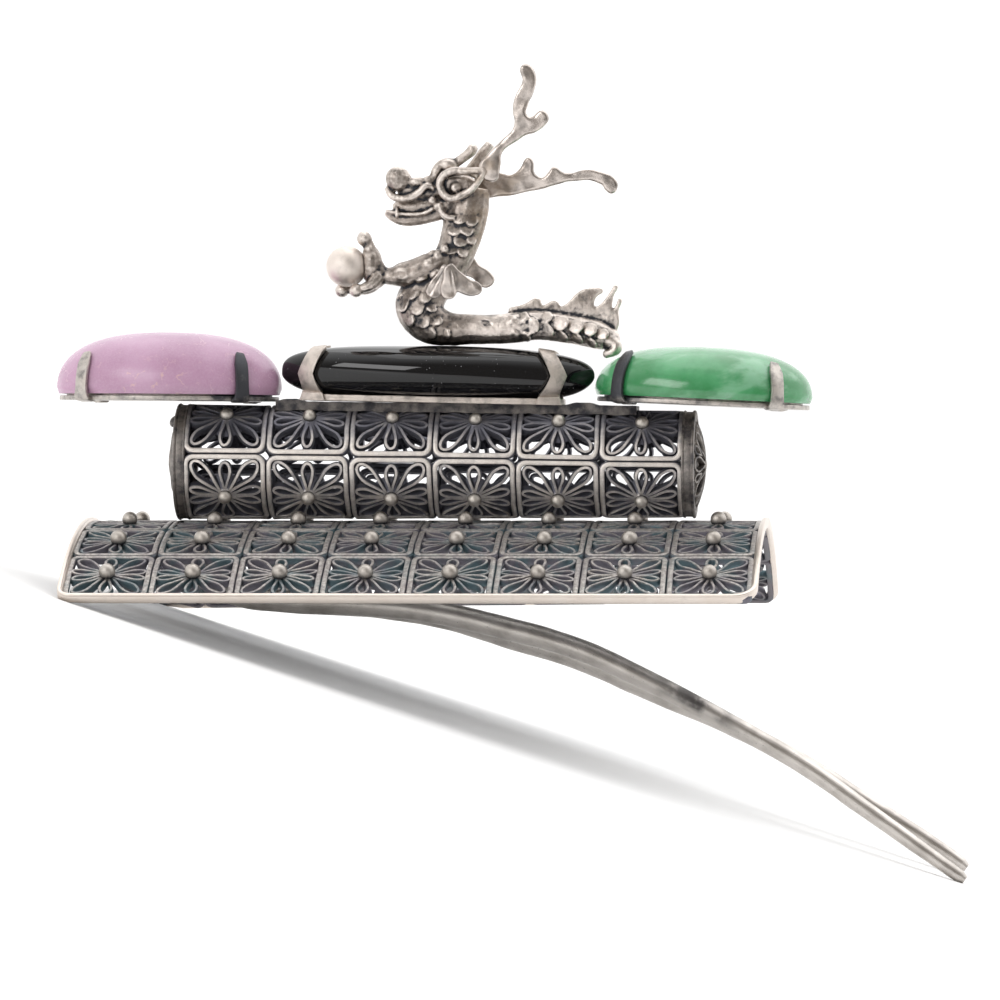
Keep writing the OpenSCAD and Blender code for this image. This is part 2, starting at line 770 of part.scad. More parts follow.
module antler_back() {
    color("gray")
        at_rest()
            blade([[4.7, 32.8], [6.8, 32.7], [10.4, 33.3], [15, 34.3], [17.2, 34], [17.7, 33.3], [18.4, 33],
                [18.9, 33.5], [18.8, 34.4], [18, 35], [15.5, 35.4], [13.8, 35.1], [12.4, 35.7], [11.9, 35.2],
                [11.4, 34.7], [10.6, 35.1], [10.4, 36.4], [10, 36.7], [9.6, 36.5], [9.1, 35.5], [8.3, 34.9],
                [7.6, 35], [6.7, 35.1], [4.7, 34.8]], 2.3);
}

module elbow_fin() {
    color("silver")
        at_rest()
            blade([[1.8, 25.2], [0.1, 23], [0.2, 22.6], [1, 22.3], [1.6, 22.8], [1.8, 22.4], [2.6, 22.3],
                [3.4, 22.9], [4.4, 22.7], [5.2, 22.6], [5.8, 23.2], [5.4, 24.1], [4.2, 24.4], [2.8, 25.6]], -2.85);
}

module back_fin() {
    color("dimgray")
        at_rest()
            blade([[4.3, 26.7], [6.4, 24.7], [6.5, 24.3], [6.1, 23.8], [5.5, 23.7], [4.7, 24.3], [2.4, 24.6],
                [2, 26]], 2.5);
}

base_plate();
drum();
drum_cap_left();
drum_cap_right();
deck_bar();
seat_lilac();
stone_lilac();
seat_black();
stone_black();
seat_green();
stone_green();
hair_fork();
dragon();
antler_upper();
antler_back();
elbow_fin();
back_fin();
pearl();
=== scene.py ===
"""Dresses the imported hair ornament: filigree of looped wire, polished stones, cast dragon."""

import math
import random

import bmesh
import bpy
from mathutils import Matrix, Vector, noise


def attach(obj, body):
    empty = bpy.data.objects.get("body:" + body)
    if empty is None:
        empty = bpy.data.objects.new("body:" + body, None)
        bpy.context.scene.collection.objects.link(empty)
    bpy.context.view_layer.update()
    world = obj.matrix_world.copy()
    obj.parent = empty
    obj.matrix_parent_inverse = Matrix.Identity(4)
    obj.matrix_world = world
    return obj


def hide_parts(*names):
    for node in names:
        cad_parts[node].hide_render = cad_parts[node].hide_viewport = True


bl_info = {
    "name": "Cheopji Hair Ornament",
    "version": (1, 0, 0),
    "blender": (4, 5, 0),
    "location": "3D View > Sidebar > Ornament",
    "description": "Builds the filigree, the stones, the dragon and the fork round the CAD frame",
    "category": "Object",
}

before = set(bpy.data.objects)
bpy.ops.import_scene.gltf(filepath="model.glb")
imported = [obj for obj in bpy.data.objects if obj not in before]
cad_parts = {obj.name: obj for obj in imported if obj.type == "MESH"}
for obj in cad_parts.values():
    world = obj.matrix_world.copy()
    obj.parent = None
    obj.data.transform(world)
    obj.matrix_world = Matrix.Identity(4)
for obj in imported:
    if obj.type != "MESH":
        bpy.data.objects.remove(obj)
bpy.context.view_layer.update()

# The pieces are modelled upright, in millimetres, with X along the plate and Z = 0 on its crest.
# The ornament then lies on a surface: it leans by this angle, and stands this far over and along it.
LEAN = math.radians(17.9278)
LIFT = 17.2711
ALONG = -11.13
LIE = Matrix.Translation((ALONG / 1000, 0, LIFT / 1000)) @ Matrix.Rotation(-LEAN, 4, "Y")
LAY_DOWN = LIE @ Matrix.Scale(0.001, 4)
BODY = "root"


# Handling objects


def pick(*objects):
    """Selects these objects alone, and makes the first one active."""
    bpy.ops.object.select_all(action="DESELECT")
    for item in objects:
        item.select_set(True)
    bpy.context.view_layer.objects.active = objects[0]
    return objects[0]


class Editing:
    """Edit mode on one object for a with block, with everything selected at the start."""

    def __init__(self, item, mode="VERT"):
        self.item, self.mode = item, mode

    def __enter__(self):
        pick(self.item)
        bpy.ops.object.mode_set(mode="EDIT")
        bpy.ops.mesh.select_mode(type=self.mode)
        bpy.ops.mesh.select_all(action="SELECT")
        return self

    def __exit__(self, *trouble):
        bpy.ops.object.mode_set(mode="OBJECT")

    def choose(self, test):
        """Selects the vertices, edges or faces that pass the test, and no other."""
        bpy.ops.mesh.select_all(action="DESELECT")
        mesh = bmesh.from_edit_mesh(self.item.data)
        for part in {"VERT": mesh.verts, "EDGE": mesh.edges, "FACE": mesh.faces}[self.mode]:
            part.select = bool(test(part))
        mesh.select_flush_mode()
        bmesh.update_edit_mesh(self.item.data)


def settle(item):
    """Puts the object's place, turn and size into its mesh."""
    pick(item)
    bpy.ops.object.transform_apply(location=True, rotation=True, scale=True)
    return item


def carve(item, kind, **settings):
    """Adds a modifier with these settings and applies it."""
    pick(item)
    modifier = item.modifiers.new(kind.title(), kind)
    for key, value in settings.items():
        setattr(modifier, key, value)
    bpy.ops.object.modifier_apply(modifier=modifier.name)
    return item


def soften(item, width, angle=30):
    """Bevels the edges that are sharper than an angle in degrees."""
    return carve(
        item, "BEVEL", width=width, segments=2, limit_method="ANGLE", angle_limit=math.radians(angle))


def cut_across(item, axis, longer, cuts):
    """Cuts the edges that run further than this along an axis, so that they can bend."""
    with Editing(item, "EDGE") as edit:
        edit.choose(lambda edge: abs(edge.verts[0].co[axis] - edge.verts[1].co[axis]) > longer)
        bpy.ops.mesh.subdivide(number_cuts=cuts)


def twin(item, place):
    """A copy with its own mesh, at this place."""
    pick(item)
    bpy.ops.object.duplicate(linked=False)
    copy = bpy.context.object
    copy.matrix_world = place @ item.matrix_world
    return copy


def fuse(items, name):
    """Joins the objects into one mesh."""
    first = pick(*items)
    if len(items) > 1:
        bpy.ops.object.join()
    first.name = first.data.name = name
    return settle(first)


def discard(*items):
    pick(*items)
    bpy.ops.object.delete()


def face_out(item):
    """Merges doubles and turns every face outwards."""
    with Editing(item):
        bpy.ops.mesh.remove_doubles(threshold=0.001)
        bpy.ops.mesh.normals_make_consistent(inside=False)
    return item


def reshape(item, rule):
    """Moves each vertex to where the rule puts it."""
    for vertex in item.data.vertices:
        vertex.co = rule(vertex.co.copy())
    item.data.update()
    return item


def raise_by(item, height):
    return reshape(item, lambda co: Vector((co.x, co.y, co.z + height)))


def uneven(*waves):
    """A rule that moves points a little, as handwork does, by waves of an amount and a scale."""
    return lambda co: co + sum((amount * noise.noise_vector(co * scale) for amount, scale in waves), Vector())


def arch_over(item, radius):
    """Bends a sheet that lies in X and Y round an axis along X, at this depth under Z = 0."""
    settle(item)
    item.rotation_euler = (math.pi / 2, 0, 0)
    settle(item)
    heights = [vertex.co.z for vertex in item.data.vertices]
    carve(item, "SIMPLE_DEFORM", deform_method="BEND", deform_axis="X",
          angle=(max(heights) - min(heights)) / radius)
    item.rotation_euler = (-math.pi / 2, 0, 0)
    return settle(item)


def finish_piece(item, name, look, slot, replaced=(), angle=40):
    item.name = item.data.name = name
    item.data.materials.clear()
    item.data.materials.append(look)
    pick(item)
    bpy.ops.object.shade_smooth_by_angle(angle=math.radians(angle))
    item.matrix_world = LAY_DOWN @ item.matrix_world
    settle(item)
    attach(item, BODY)
    if replaced:
        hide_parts(*replaced)
    return item


# Shapes that repeat


def wire_loop(points, thickness, height):
    """A closed wire through Bezier points, each a place and its two handles. It stands on edge."""
    bpy.ops.curve.primitive_bezier_circle_add(radius=1)
    loop = bpy.context.object
    for knot, (place, left, right) in zip(loop.data.splines[0].bezier_points, points):
        knot.handle_left_type = knot.handle_right_type = "FREE"
        knot.co, knot.handle_left, knot.handle_right = [(*spot, 0) for spot in (place, left, right)]
    curve = loop.data
    curve.resolution_u = 5
    curve.bevel_depth, curve.bevel_resolution = thickness / 2, 1
    curve.dimensions = "3D"
    pick(loop)
    bpy.ops.object.convert(target="MESH")
    loop.scale = (1, 1, height / thickness)
    return settle(loop)


def petal(start, reach, width, thickness, height):
    """A teardrop loop along +X, pinched where it starts."""
    half = width / 2
    pinch, back, wide, front = [start + share * (reach - start) for share in (0.3, 0.5, 0.7, 0.88)]
    points = [
        ((start, 0), (pinch, -0.24 * half), (pinch, 0.24 * half)),
        ((wide, half), (back, 0.9 * half), (front, half)),
        ((reach, 0), (reach, 0.55 * half), (reach, -0.55 * half)),
        ((wide, -half), (front, -half), (back, -0.9 * half)),
    ]
    return wire_loop(points, thickness, height)


def tube(rows, sides=6, smoothness=6, depth=1.0):
    """A round bar through rows of x, y, z and radius, closed at both ends."""
    bpy.ops.curve.primitive_bezier_curve_add()
    bar = bpy.context.object
    curve = bar.data
    spline = curve.splines[0]
    spline.bezier_points.add(len(rows) - 2)
    for knot, (x, y, z, radius) in zip(spline.bezier_points, rows):
        knot.handle_left_type = knot.handle_right_type = "AUTO"
        knot.co, knot.radius = (x, y, z), radius
    curve.dimensions = "3D"
    curve.resolution_u = smoothness
    curve.bevel_depth, curve.bevel_resolution = 1, (sides - 4) // 2
    curve.use_fill_caps = True
    pick(bar)
    bpy.ops.object.convert(target="MESH")
    if depth != 1:
        middle = sum(row[1] for row in rows) / len(rows)
        reshape(bar, lambda co: Vector((co.x, middle + (co.y - middle) * depth, co.z)))
    return bar


def lump(place, size, turn=0.0):
    """A ball squashed to three half sizes, turned about Y."""
    bpy.ops.mesh.primitive_uv_sphere_add(segments=14, ring_count=9, radius=1)
    ball = bpy.context.object
    size = (size,) * 3 if isinstance(size, (int, float)) else size
    ball.matrix_world = (
        Matrix.Translation(place) @ Matrix.Rotation(turn, 4, "Y") @ Matrix.Diagonal((*size, 1))
    )
    return ball


def flat_cutting(outline, middle, thickness, edge):
    """A sheet cut to a smooth outline of x and z, standing at this depth, with rounded edges."""
    bpy.ops.curve.primitive_bezier_circle_add(radius=1)
    sheet = bpy.context.object
    curve = sheet.data
    spline = curve.splines[0]
    spline.bezier_points.add(len(outline) - 4)
    for knot, (x, z) in zip(spline.bezier_points, outline):
        knot.handle_left_type = knot.handle_right_type = "AUTO"
        knot.co = (x, z, 0)
    curve.dimensions, curve.fill_mode = "2D", "BOTH"
    curve.resolution_u = 4
    curve.bevel_depth, curve.bevel_resolution = edge, 2
    curve.offset = -edge
    curve.extrude = thickness / 2 - edge
    pick(sheet)
    bpy.ops.object.convert(target="MESH")
    sheet.rotation_euler = (math.pi / 2, 0, 0)
    sheet.location = (0, middle, 0)
    return face_out(settle(sheet))


def strap(stations, thickness):
    """A flat bar bent through stations: a point, its outward normal and its half width vector."""
    bpy.ops.mesh.primitive_cube_add(size=1)
    bar = bpy.context.object
    last = len(stations) - 1
    cut_across(bar, 0, 0.5, last - 1)

    def bend(co):
        point, normal, side = stations[round((co.x + 0.5) * last)]
        return point + side * (2 * co.y) + normal * ((co.z + 0.5) * thickness)

    return soften(face_out(reshape(bar, bend)), thickness * 0.3, 50)


def wire_ring(radius, half_thickness, **place):
    bpy.ops.mesh.primitive_torus_add(
        major_segments=64, minor_segments=8, major_radius=radius, minor_radius=half_thickness, **place)
    return bpy.context.object


# Materials


class Wire:
    """A shader socket that takes part in arithmetic."""

    def __init__(self, look, socket):
        self.look, self.socket = look, socket

    def __add__(self, other):
        return self.look.math("ADD", self, other)

    def __sub__(self, other):
        return self.look.math("SUBTRACT", self, other)

    def __rsub__(self, other):
        return self.look.math("SUBTRACT", other, self)

    def __mul__(self, other):
        return self.look.math("MULTIPLY", self, other)

    def __pow__(self, other):
        return self.look.math("POWER", self, other)

    __radd__, __rmul__ = __add__, __mul__

    def rise(self, low, high):
        """0 under low, 1 over high, and smooth between them."""
        return self.look.add(
            "ShaderNodeMapRange", {"interpolation_type": "SMOOTHSTEP"},
            {"Value": self, "From Min": low, "From Max": high},
        )


class Nodes:
    """A node tree under construction."""

    def __init__(self, tree):
        self.tree = tree
        self.tree.nodes.clear()

    def add(self, kind, settings=None, inputs=None, output=0):
        """A node with its settings, and with values or links on its sockets."""
        node = self.tree.nodes.new(kind)
        for key, value in (settings or {}).items():
            setattr(node, key, value)
        for key, value in (inputs or {}).items():
            if isinstance(value, Wire):
                self.tree.links.new(value.socket, node.inputs[key])
            else:
                socket = node.inputs[key]
                wide = socket.type == "RGBA" and len(value) == 3
                socket.default_value = (*value, 1) if wide else value
        return None if output is None else Wire(self, node.outputs[output])

    def math(self, operation, first, second):
        return self.add("ShaderNodeMath", {"operation": operation}, {0: first, 1: second})

    def mix(self, share, first, second):
        """A colour between two colours or links."""
        return self.add(
            "ShaderNodeMix", {"data_type": "RGBA"}, {0: share, 6: first, 7: second}, output=2
        )

    def between(self, share, first, second):
        """A number between two numbers or links."""
        return self.add("ShaderNodeMix", {"data_type": "FLOAT"}, {0: share, 2: first, 3: second})

    def split(self, vector):
        """The three numbers of a vector."""
        node = self.tree.nodes.new("ShaderNodeSeparateXYZ")
        self.tree.links.new(vector.socket, node.inputs[0])
        return [Wire(self, socket) for socket in node.outputs]


class Look(Nodes):
    """A material under construction, with coordinates in upright millimetres."""

    def __init__(self, name):
        self.material = bpy.data.materials.new(name)
        self.material.use_nodes = True
        super().__init__(self.material.node_tree)
        back = Matrix.Rotation(LEAN, 3, "Y") @ Vector((-ALONG, 0, -LIFT))
        place = self.add("ShaderNodeTexCoord", output="Object")
        self.spot = self.add(
            "ShaderNodeMapping", {},
            {"Vector": place, "Location": back, "Rotation": (0, LEAN, 0), "Scale": (1000, 1000, 1000)},
        )

    def noise(self, scale, detail=3.0, rough=0.55, spot=None, output="Fac"):
        return self.add(
            "ShaderNodeTexNoise", {},
            {"Vector": spot or self.spot, "Scale": scale, "Detail": detail, "Roughness": rough}, output,
        )

    def cells(self, scale, feature="F1", spot=None):
        return self.add(
            "ShaderNodeTexVoronoi", {"feature": feature},
            {"Vector": spot or self.spot, "Scale": scale, "Randomness": 1.0}, "Distance",
        )

    def axes(self):
        return self.split(self.spot)

    def stretched(self, turn, scale):
        """The upright coordinates turned about Y, then scaled along each axis."""
        turned = self.add("ShaderNodeMapping", {}, {"Vector": self.spot, "Rotation": (0, turn, 0)})
        return self.add("ShaderNodeMapping", {}, {"Vector": turned, "Scale": scale})

    def from_axis(self, level, radius, lean, taper):
        """How far a point lies over a cylinder or cone along X whose axis is at this level."""
        across, depth, up = self.axes()
        rise = up - level + across * math.tan(lean)
        return (depth * depth + rise * rise) ** 0.5 - radius + across * taper

    def kept(self, name):
        """A number that the mesh keeps at each point."""
        return self.add("ShaderNodeAttribute", {"attribute_name": name}, output="Fac")

    def bump(self, height, strength, distance):
        return self.add(
            "ShaderNodeBump", {}, {"Height": height, "Strength": strength, "Distance": distance / 1000}
        )

    def surface(self, **sockets):
        """The finished surface: each socket by its name, with _ for a space."""
        named = {key.replace("_", " "): value for key, value in sockets.items()}
        shader = self.add("ShaderNodeBsdfPrincipled", {}, named)
        self.add("ShaderNodeOutputMaterial", {}, {"Surface": shader}, output=None)
        return self.material


def aged_silver(name, cover, bright, dark, grain, rough):
    """Silver that is polished where cover is 1 and tarnished where it is 0.

    cover takes the look and gives a link. rough is the roughness of the tarnish and of the polish.
    """
    look = Look(name)
    mottle = look.noise(1.1, 4.0)
    fine = look.noise(9.0, 3.0)
    polished = (cover(look) + (mottle - 0.5) * 0.55 + (fine - 0.5) * 0.35).rise(0.05, 0.95)
    warmer = tuple(part * share for part, share in zip(bright, (0.86, 0.82, 0.78)))
    return look.surface(
        Base_Color=look.mix(polished, dark, look.mix(look.noise(0.5, 3.0), bright, warmer)),
        Metallic=look.between(polished, 0.75, 1.0),
        Roughness=look.between(polished, *rough) + (fine - 0.5) * 0.14,
        Normal=look.bump(look.noise(14.0, 4.0) + mottle, grain, 0.05),
    )


def plate_silver():
    """Filigree of the plate: silver on top of the wires, violet and teal between, brown underneath."""
    look = Look("Plate filigree silver")
    level = look.kept("level")
    mottle, fine = look.noise(1.1, 4.0), look.noise(9.0, 3.0)
    top = (level.rise(0.0, 0.36) * 0.8 + (mottle - 0.5) * 0.7 + (fine - 0.5) * 0.5).rise(0.1, 0.95)
    warm = look.mix(look.noise(2.5, 3.0).rise(0.35, 0.65), (0.56, 0.525, 0.49), (0.33, 0.30, 0.28))
    cold = look.mix(look.noise(0.3, 2.0).rise(0.44, 0.62), (0.185, 0.175, 0.205), (0.125, 0.185, 0.21))
    under = 1 - level.rise(-0.75, -0.35)
    base = look.mix(under * 0.8, cold, (0.19, 0.165, 0.15))
    return look.surface(
        Base_Color=look.mix(top, base, warm),
        Metallic=look.between(top, 0.7, 1.0),
        Roughness=look.between(top, 0.6, 0.45) + (fine - 0.5) * 0.14,
        Normal=look.bump(look.noise(14.0, 4.0) + mottle, 0.6, 0.05),
    )


def drum_silver(level, radius, lean, taper):
    """Filigree of the drum: much darker, with worn bright edges, and a painted shade on top."""
    def cover(look):
        _, _, up = look.axes()
        # A painted shade darkens the top of the drum, where the deck, the seats and the stones lie over it
        painted_shade_on_top = (up - level).rise(1.2, 4.2) * 0.4
        return look.from_axis(level, radius, lean, taper).rise(-0.05, 0.38) * 0.85 - 0.08 - painted_shade_on_top

    bright, dark = (0.92, 0.875, 0.825), (0.165, 0.165, 0.195)
    return aged_silver("Drum filigree silver", cover, bright, dark, 0.6, (0.55, 0.42))


def plain_silver(name, bright, dark, share, grain, rough=(0.6, 0.34)):
    """Silver with patchy tarnish, by a share of polished surface."""
    def cover(look):
        return look.noise(0.8, 4.0).rise(0.25, 0.6) * 0.4 + (share - 0.3)

    return aged_silver(name, cover, bright, dark, grain, rough)


def seat_silver():
    """Oval seats: two of the prongs are nearly black."""
    def cover(look):
        along, _, up = look.axes()
        lilac = (along + 21.5).rise(0, 1) * (1 - (along + 15.5).rise(0, 1))
        green = (along - 16.5).rise(0, 1) * (1 - (along - 21.5).rise(0, 1))
        over_plate = (up - 12.6).rise(-0.4, 0.4)
        return 0.8 - (lilac + green) * (over_plate * 0.45 + 0.3) - look.noise(1.2, 4.0).rise(0.4, 0.7) * 0.35

    bright, dark = (0.60, 0.565, 0.53), (0.06, 0.062, 0.07)
    return aged_silver("Oval seat silver", cover, bright, dark, 0.7, (0.35, 0.35))


def granule_silver(name, bright):
    """Granules: bright domes, dark at the foot."""
    def cover(look):
        return look.kept("level").rise(0.1, 0.8) * 0.85

    return aged_silver(name, cover, bright, (0.035, 0.038, 0.045), 0.6, (0.55, 0.36))


def cast_silver(name, grain, tail_tone, body_tone):
    """Sand-cast silver: rubbed bright on the ridges with a painted highlight, oxidised in the small hollows,
    darkened by painted shade in the wide recesses, browner behind the head.
    """
    look = Look(name)
    along, _, up = look.axes()
    hollow = look.kept("hollow")
    mottle = look.noise(0.9, 4.0)
    fine = look.noise(8.0, 4.0)
    level = hollow + (mottle - 0.5) * 0.34 * grain + (fine - 0.5) * 0.2 * grain
    # Dark where the skin lies under its smoothed form: oxide in the small hollows, painted shade in the wide
    # recesses that the long smoothing of the dragon finds
    depth = level.rise(0.46, 0.7)
    # Bright on the convex edges: rubbed metal, brightened further as a painted highlight
    worn = 1 - level.rise(0.22, 0.46)
    tail = (along - 2.5).rise(0, 4) * (1 - (up - 20.5).rise(0, 2))
    patchy = look.mix(mottle.rise(0.4, 0.7) * 0.55, look.mix(tail, body_tone, tail_tone), (0.13, 0.12, 0.11))
    nape = (along - 3.0).rise(0, 2.5) * (1 - (along - 8.0).rise(0, 2)) * (up - 26.0).rise(0, 2)
    brown = nape * (1 - (up - 36.0).rise(0, 2)) * look.noise(0.6, 3.0).rise(0.35, 0.6)
    ridges_rubbed_and_highlit = look.mix(worn * 0.8, patchy, (0.76, 0.69, 0.635))
    tone = look.mix(brown * 0.6, ridges_rubbed_and_highlit, (0.25, 0.185, 0.125))
    return look.surface(
        Base_Color=look.mix(depth, tone, (0.032, 0.034, 0.041)),
        Metallic=look.between(depth, 1.0, 0.8),
        Roughness=look.between(depth, 0.3, 0.5) + (fine - 0.5) * 0.14,
        Normal=look.bump(look.noise(4.0, 5.0, 0.65), 0.5 * grain, 0.12),
    )


def brushed_silver():
    """The fork: brushed along the tines, with black tarnish two thirds of the way down and pits."""
    look = Look("Brushed fork silver")
    along, _, up = look.axes()
    streaks = look.noise(1.0, 3.0, spot=look.stretched(math.radians(-30), (0.5, 9, 9)))
    pits = (1 - look.cells(3.2).rise(0.05, 0.16)) * look.noise(0.5, 2.0).rise(0.45, 0.6)
    burn = (along - 20.0).rise(0.0, 7.0) * (1 - (along - 28.0).rise(0.0, 5.0))
    over = (up + 15.9 + (along - 22) * 0.53).rise(-0.15, 0.5)
    scorch = burn * over * (look.noise(0.6, 4.0).rise(0.3, 0.6) * 0.6 + 0.2)
    # Darker in random patches and towards the closed end of the fork
    root = 1 - along.rise(-12.0, 10.0)
    darker_patches_and_root = look.noise(0.35, 4.0).rise(0.42, 0.7) * 0.45 + root * 0.35
    clean = look.mix(streaks, (0.56, 0.525, 0.49), (0.72, 0.68, 0.64))
    tone = look.mix(darker_patches_and_root, clean, (0.27, 0.245, 0.22))
    tone = look.mix(scorch, tone, (0.03, 0.03, 0.034))
    return look.surface(
        Base_Color=look.mix(pits, tone, (0.04, 0.036, 0.032)),
        Metallic=1.0,
        Roughness=look.between(scorch, 0.36, 0.55) + (streaks - 0.5) * 0.16,
        Normal=look.bump(streaks * 0.5 - pits, 0.45, 0.08),
    )


def lilac_stone():
    """Opaque mauve stone with clouds and a few cream veins, under a high polish."""
    look = Look("Lilac stone")
    clouds = look.noise(0.16, 4.0)
    speck = look.noise(5.0, 3.0)
    waves = {0: look.noise(0.5, 3.0, output="Color"), "Scale": 3.0}
    push = look.add("ShaderNodeVectorMath", {"operation": "SCALE"}, waves)
    warp = look.add("ShaderNodeVectorMath", {"operation": "ADD"}, {0: look.spot, 1: push})
    cracks = 1 - look.cells(0.5, "DISTANCE_TO_EDGE", spot=warp).rise(0.0, 0.05)
    along, _, up = look.axes()
    near = 1 - ((along + 27) * (along + 27) * 0.06 + (up - 14) * (up - 14) * 0.35).rise(0.3, 1.3)
    veins = cracks * look.noise(0.9, 2.0).rise(0.48, 0.62) * (near * 0.85 + 0.15)
    body = look.mix(clouds.rise(0.3, 0.7), (0.44, 0.25, 0.37), (0.54, 0.33, 0.47))
    body = look.mix(speck.rise(0.35, 0.75) * 0.3, body, (0.62, 0.45, 0.57))
    return look.surface(
        Base_Color=look.mix(veins * 0.7, body, (0.72, 0.50, 0.40)),
        Roughness=0.26 + veins * 0.2,
        Normal=look.bump(cracks * -1 + look.noise(2.5, 2.0) * 0.3, 0.08, 0.05),
        Subsurface_Weight=0.12, Subsurface_Radius=(0.0015, 0.0008, 0.0012), Subsurface_Scale=1.0,
        IOR=1.5,
    )


def black_stone():
    """Onyx polished like a mirror, with dust specks."""
    look = Look("Black onyx")
    dust = (1 - look.cells(1.9).rise(0.06, 0.12)) * look.noise(0.3, 2.0).rise(0.45, 0.6)
    bands = look.noise(0.8, 3.0, spot=look.stretched(0.0, (0.1, 0.6, 1.6)))
    black = look.mix(bands, (0.002, 0.002, 0.0025), (0.005, 0.005, 0.006))
    return look.surface(
        Base_Color=look.mix(dust, black, (0.22, 0.22, 0.23)),
        Roughness=0.045 + dust * 0.4,
        Normal=look.bump(look.noise(0.25, 1.0), 0.03, 0.2),
        IOR=1.5,
    )


def green_stone():
    """Jade: mottled from milky to deep green, a little light passing through it."""
    look = Look("Green jade")
    clouds = look.noise(0.2, 5.0, 0.6)
    flecks = look.noise(0.7, 4.0)
    streak = look.noise(0.35, 4.0, spot=look.stretched(math.radians(20), (0.5, 1, 1.2)))
    tone = look.mix(clouds.rise(0.35, 0.65), (0.04, 0.25, 0.085), (0.10, 0.38, 0.17))
    tone = look.mix(streak.rise(0.5, 0.68) * 0.6, tone, (0.27, 0.53, 0.35))
    tone = look.mix(flecks.rise(0.62, 0.78) * 0.7, tone, (0.003, 0.24, 0.05))
    return look.surface(
        Base_Color=tone,
        Roughness=0.15 + flecks * 0.08,
        Normal=look.bump(look.noise(1.5, 2.0), 0.03, 0.1),
        Subsurface_Weight=0.3, Subsurface_Radius=(0.001, 0.003, 0.0015), Subsurface_Scale=1.0,
        Coat_Weight=0.25, Coat_Roughness=0.05, IOR=1.6,
    )


# Settings that a user would change


def length(name, description, default, low, high):
    return bpy.props.FloatProperty(
        name=name, description=description, default=default, min=low, max=high,
        subtype="DISTANCE", unit="LENGTH", precision=5,
    )


class PlateSettings(bpy.types.PropertyGroup):
    tile: length("Tile Side", "Side of one filigree tile of the plate", 0.0084, 0.008, 0.0088)
    arch: length("Arch Radius", "Radius of the plate's arch", 0.042, 0.040, 0.048)
    wire: length("Loop Wire", "Thickness of the looped wire", 0.00043, 0.0002, 0.0005)
    wire_height: length("Loop Wire Height", "How tall the loops stand", 0.00092, 0.0003, 0.001)
    rail: length("Rail Width", "Width of the frame wire round a tile", 0.00056, 0.0004, 0.0009)
    granule: length("Granule", "Diameter of the silver granules", 0.0016, 0.0012, 0.0018)
    columns: bpy.props.IntProperty(
        name="Columns", description="Tiles along the plate", default=8, min=7, max=9)
    rows: bpy.props.IntProperty(
        name="Rows", description="Tiles over the arch", default=6, min=4, max=8)


class DrumSettings(bpy.types.PropertyGroup):
    lace: length("Lace Depth", "How deep the looped wire reaches into the drum", 0.00115, 0.0006, 0.0012)
    tile: length("Tile Side", "Length of one tile of the drum", 0.0083, 0.008, 0.0085)
    radius: length("Radius", "Radius of the drum's wall", 0.00525, 0.005, 0.0053)
    level: length("Axis Height", "Height of the axis over the plate's crest", 0.00605, 0.006, 0.0064)
    middle: length("Middle", "Place of the drum's middle along the plate", 0.00095, 0.0, 0.002)
    lean: bpy.props.FloatProperty(
        name="Lean", description="Fall of the drum to the right", default=math.radians(0.3),
        min=0, max=math.radians(1), subtype="ANGLE", unit="ROTATION")
    taper: bpy.props.FloatProperty(
        name="Taper", description="How much the radius falls for each unit of length to the right",
        default=0.009, min=0, max=0.01)
    twist: bpy.props.FloatProperty(
        name="Twist", description="Turn of each column against the one before it",
        default=math.radians(1.2), min=0, max=math.radians(3), subtype="ANGLE", unit="ROTATION")


class StoneSettings(bpy.types.PropertyGroup):
    lilac_length: length("Lilac Length", "Length of the lilac oval stone", 0.0227, 0.020, 0.023)
    lilac_height: length("Lilac Height", "Height of the lilac oval stone", 0.0061, 0.005, 0.007)
    green_length: length("Green Length", "Length of the green oval stone", 0.0218, 0.020, 0.022)
    green_height: length("Green Height", "Height of the green oval stone", 0.0051, 0.004, 0.006)
    width: length("Oval Width", "Width of both oval stones", 0.016, 0.013, 0.017)
    black_length: length("Black Length", "Length of the black pointed stone", 0.0314, 0.030, 0.032)
    black_width: length("Black Width", "Width of the black pointed stone", 0.011, 0.009, 0.012)


class DragonSettings(bpy.types.PropertyGroup):
    grain: length("Casting Grain", "Size of the finest form of the casting", 0.00012, 0.00009, 0.0003)
    scale: bpy.props.FloatProperty(
        name="Scale Lift", description="How far the free edge of a scale is raised", default=0.4,
        min=0, max=0.6, subtype="ANGLE", unit="ROTATION")
    pearl: length("Ball", "Diameter of the ball in the claw", 0.0041, 0.0036, 0.0041)


class StageSettings(bpy.types.PropertyGroup):
    floor: bpy.props.FloatVectorProperty(
        name="Floor", description="Colour of the floor", default=(0.95, 0.95, 0.95), min=0, max=1,
        subtype="COLOR")
    overhead: bpy.props.FloatProperty(
        name="Overhead Light", description="Power of the large softbox above", default=6.0, min=0, max=60)
    front: bpy.props.FloatProperty(
        name="Front Light", description="Power of the low softbox in front", default=1.1, min=0, max=20)
    sky: bpy.props.FloatProperty(
        name="Room Light", description="Strength of the light from all round", default=1.35, min=0, max=3)


class OrnamentSettings(bpy.types.PropertyGroup):
    plate: bpy.props.PointerProperty(type=PlateSettings)
    drum: bpy.props.PointerProperty(type=DrumSettings)
    stones: bpy.props.PointerProperty(type=StoneSettings)
    dragon: bpy.props.PointerProperty(type=DragonSettings)
    stage: bpy.props.PointerProperty(type=StageSettings)


def mm(metres):
    return metres * 1000


# Filigree


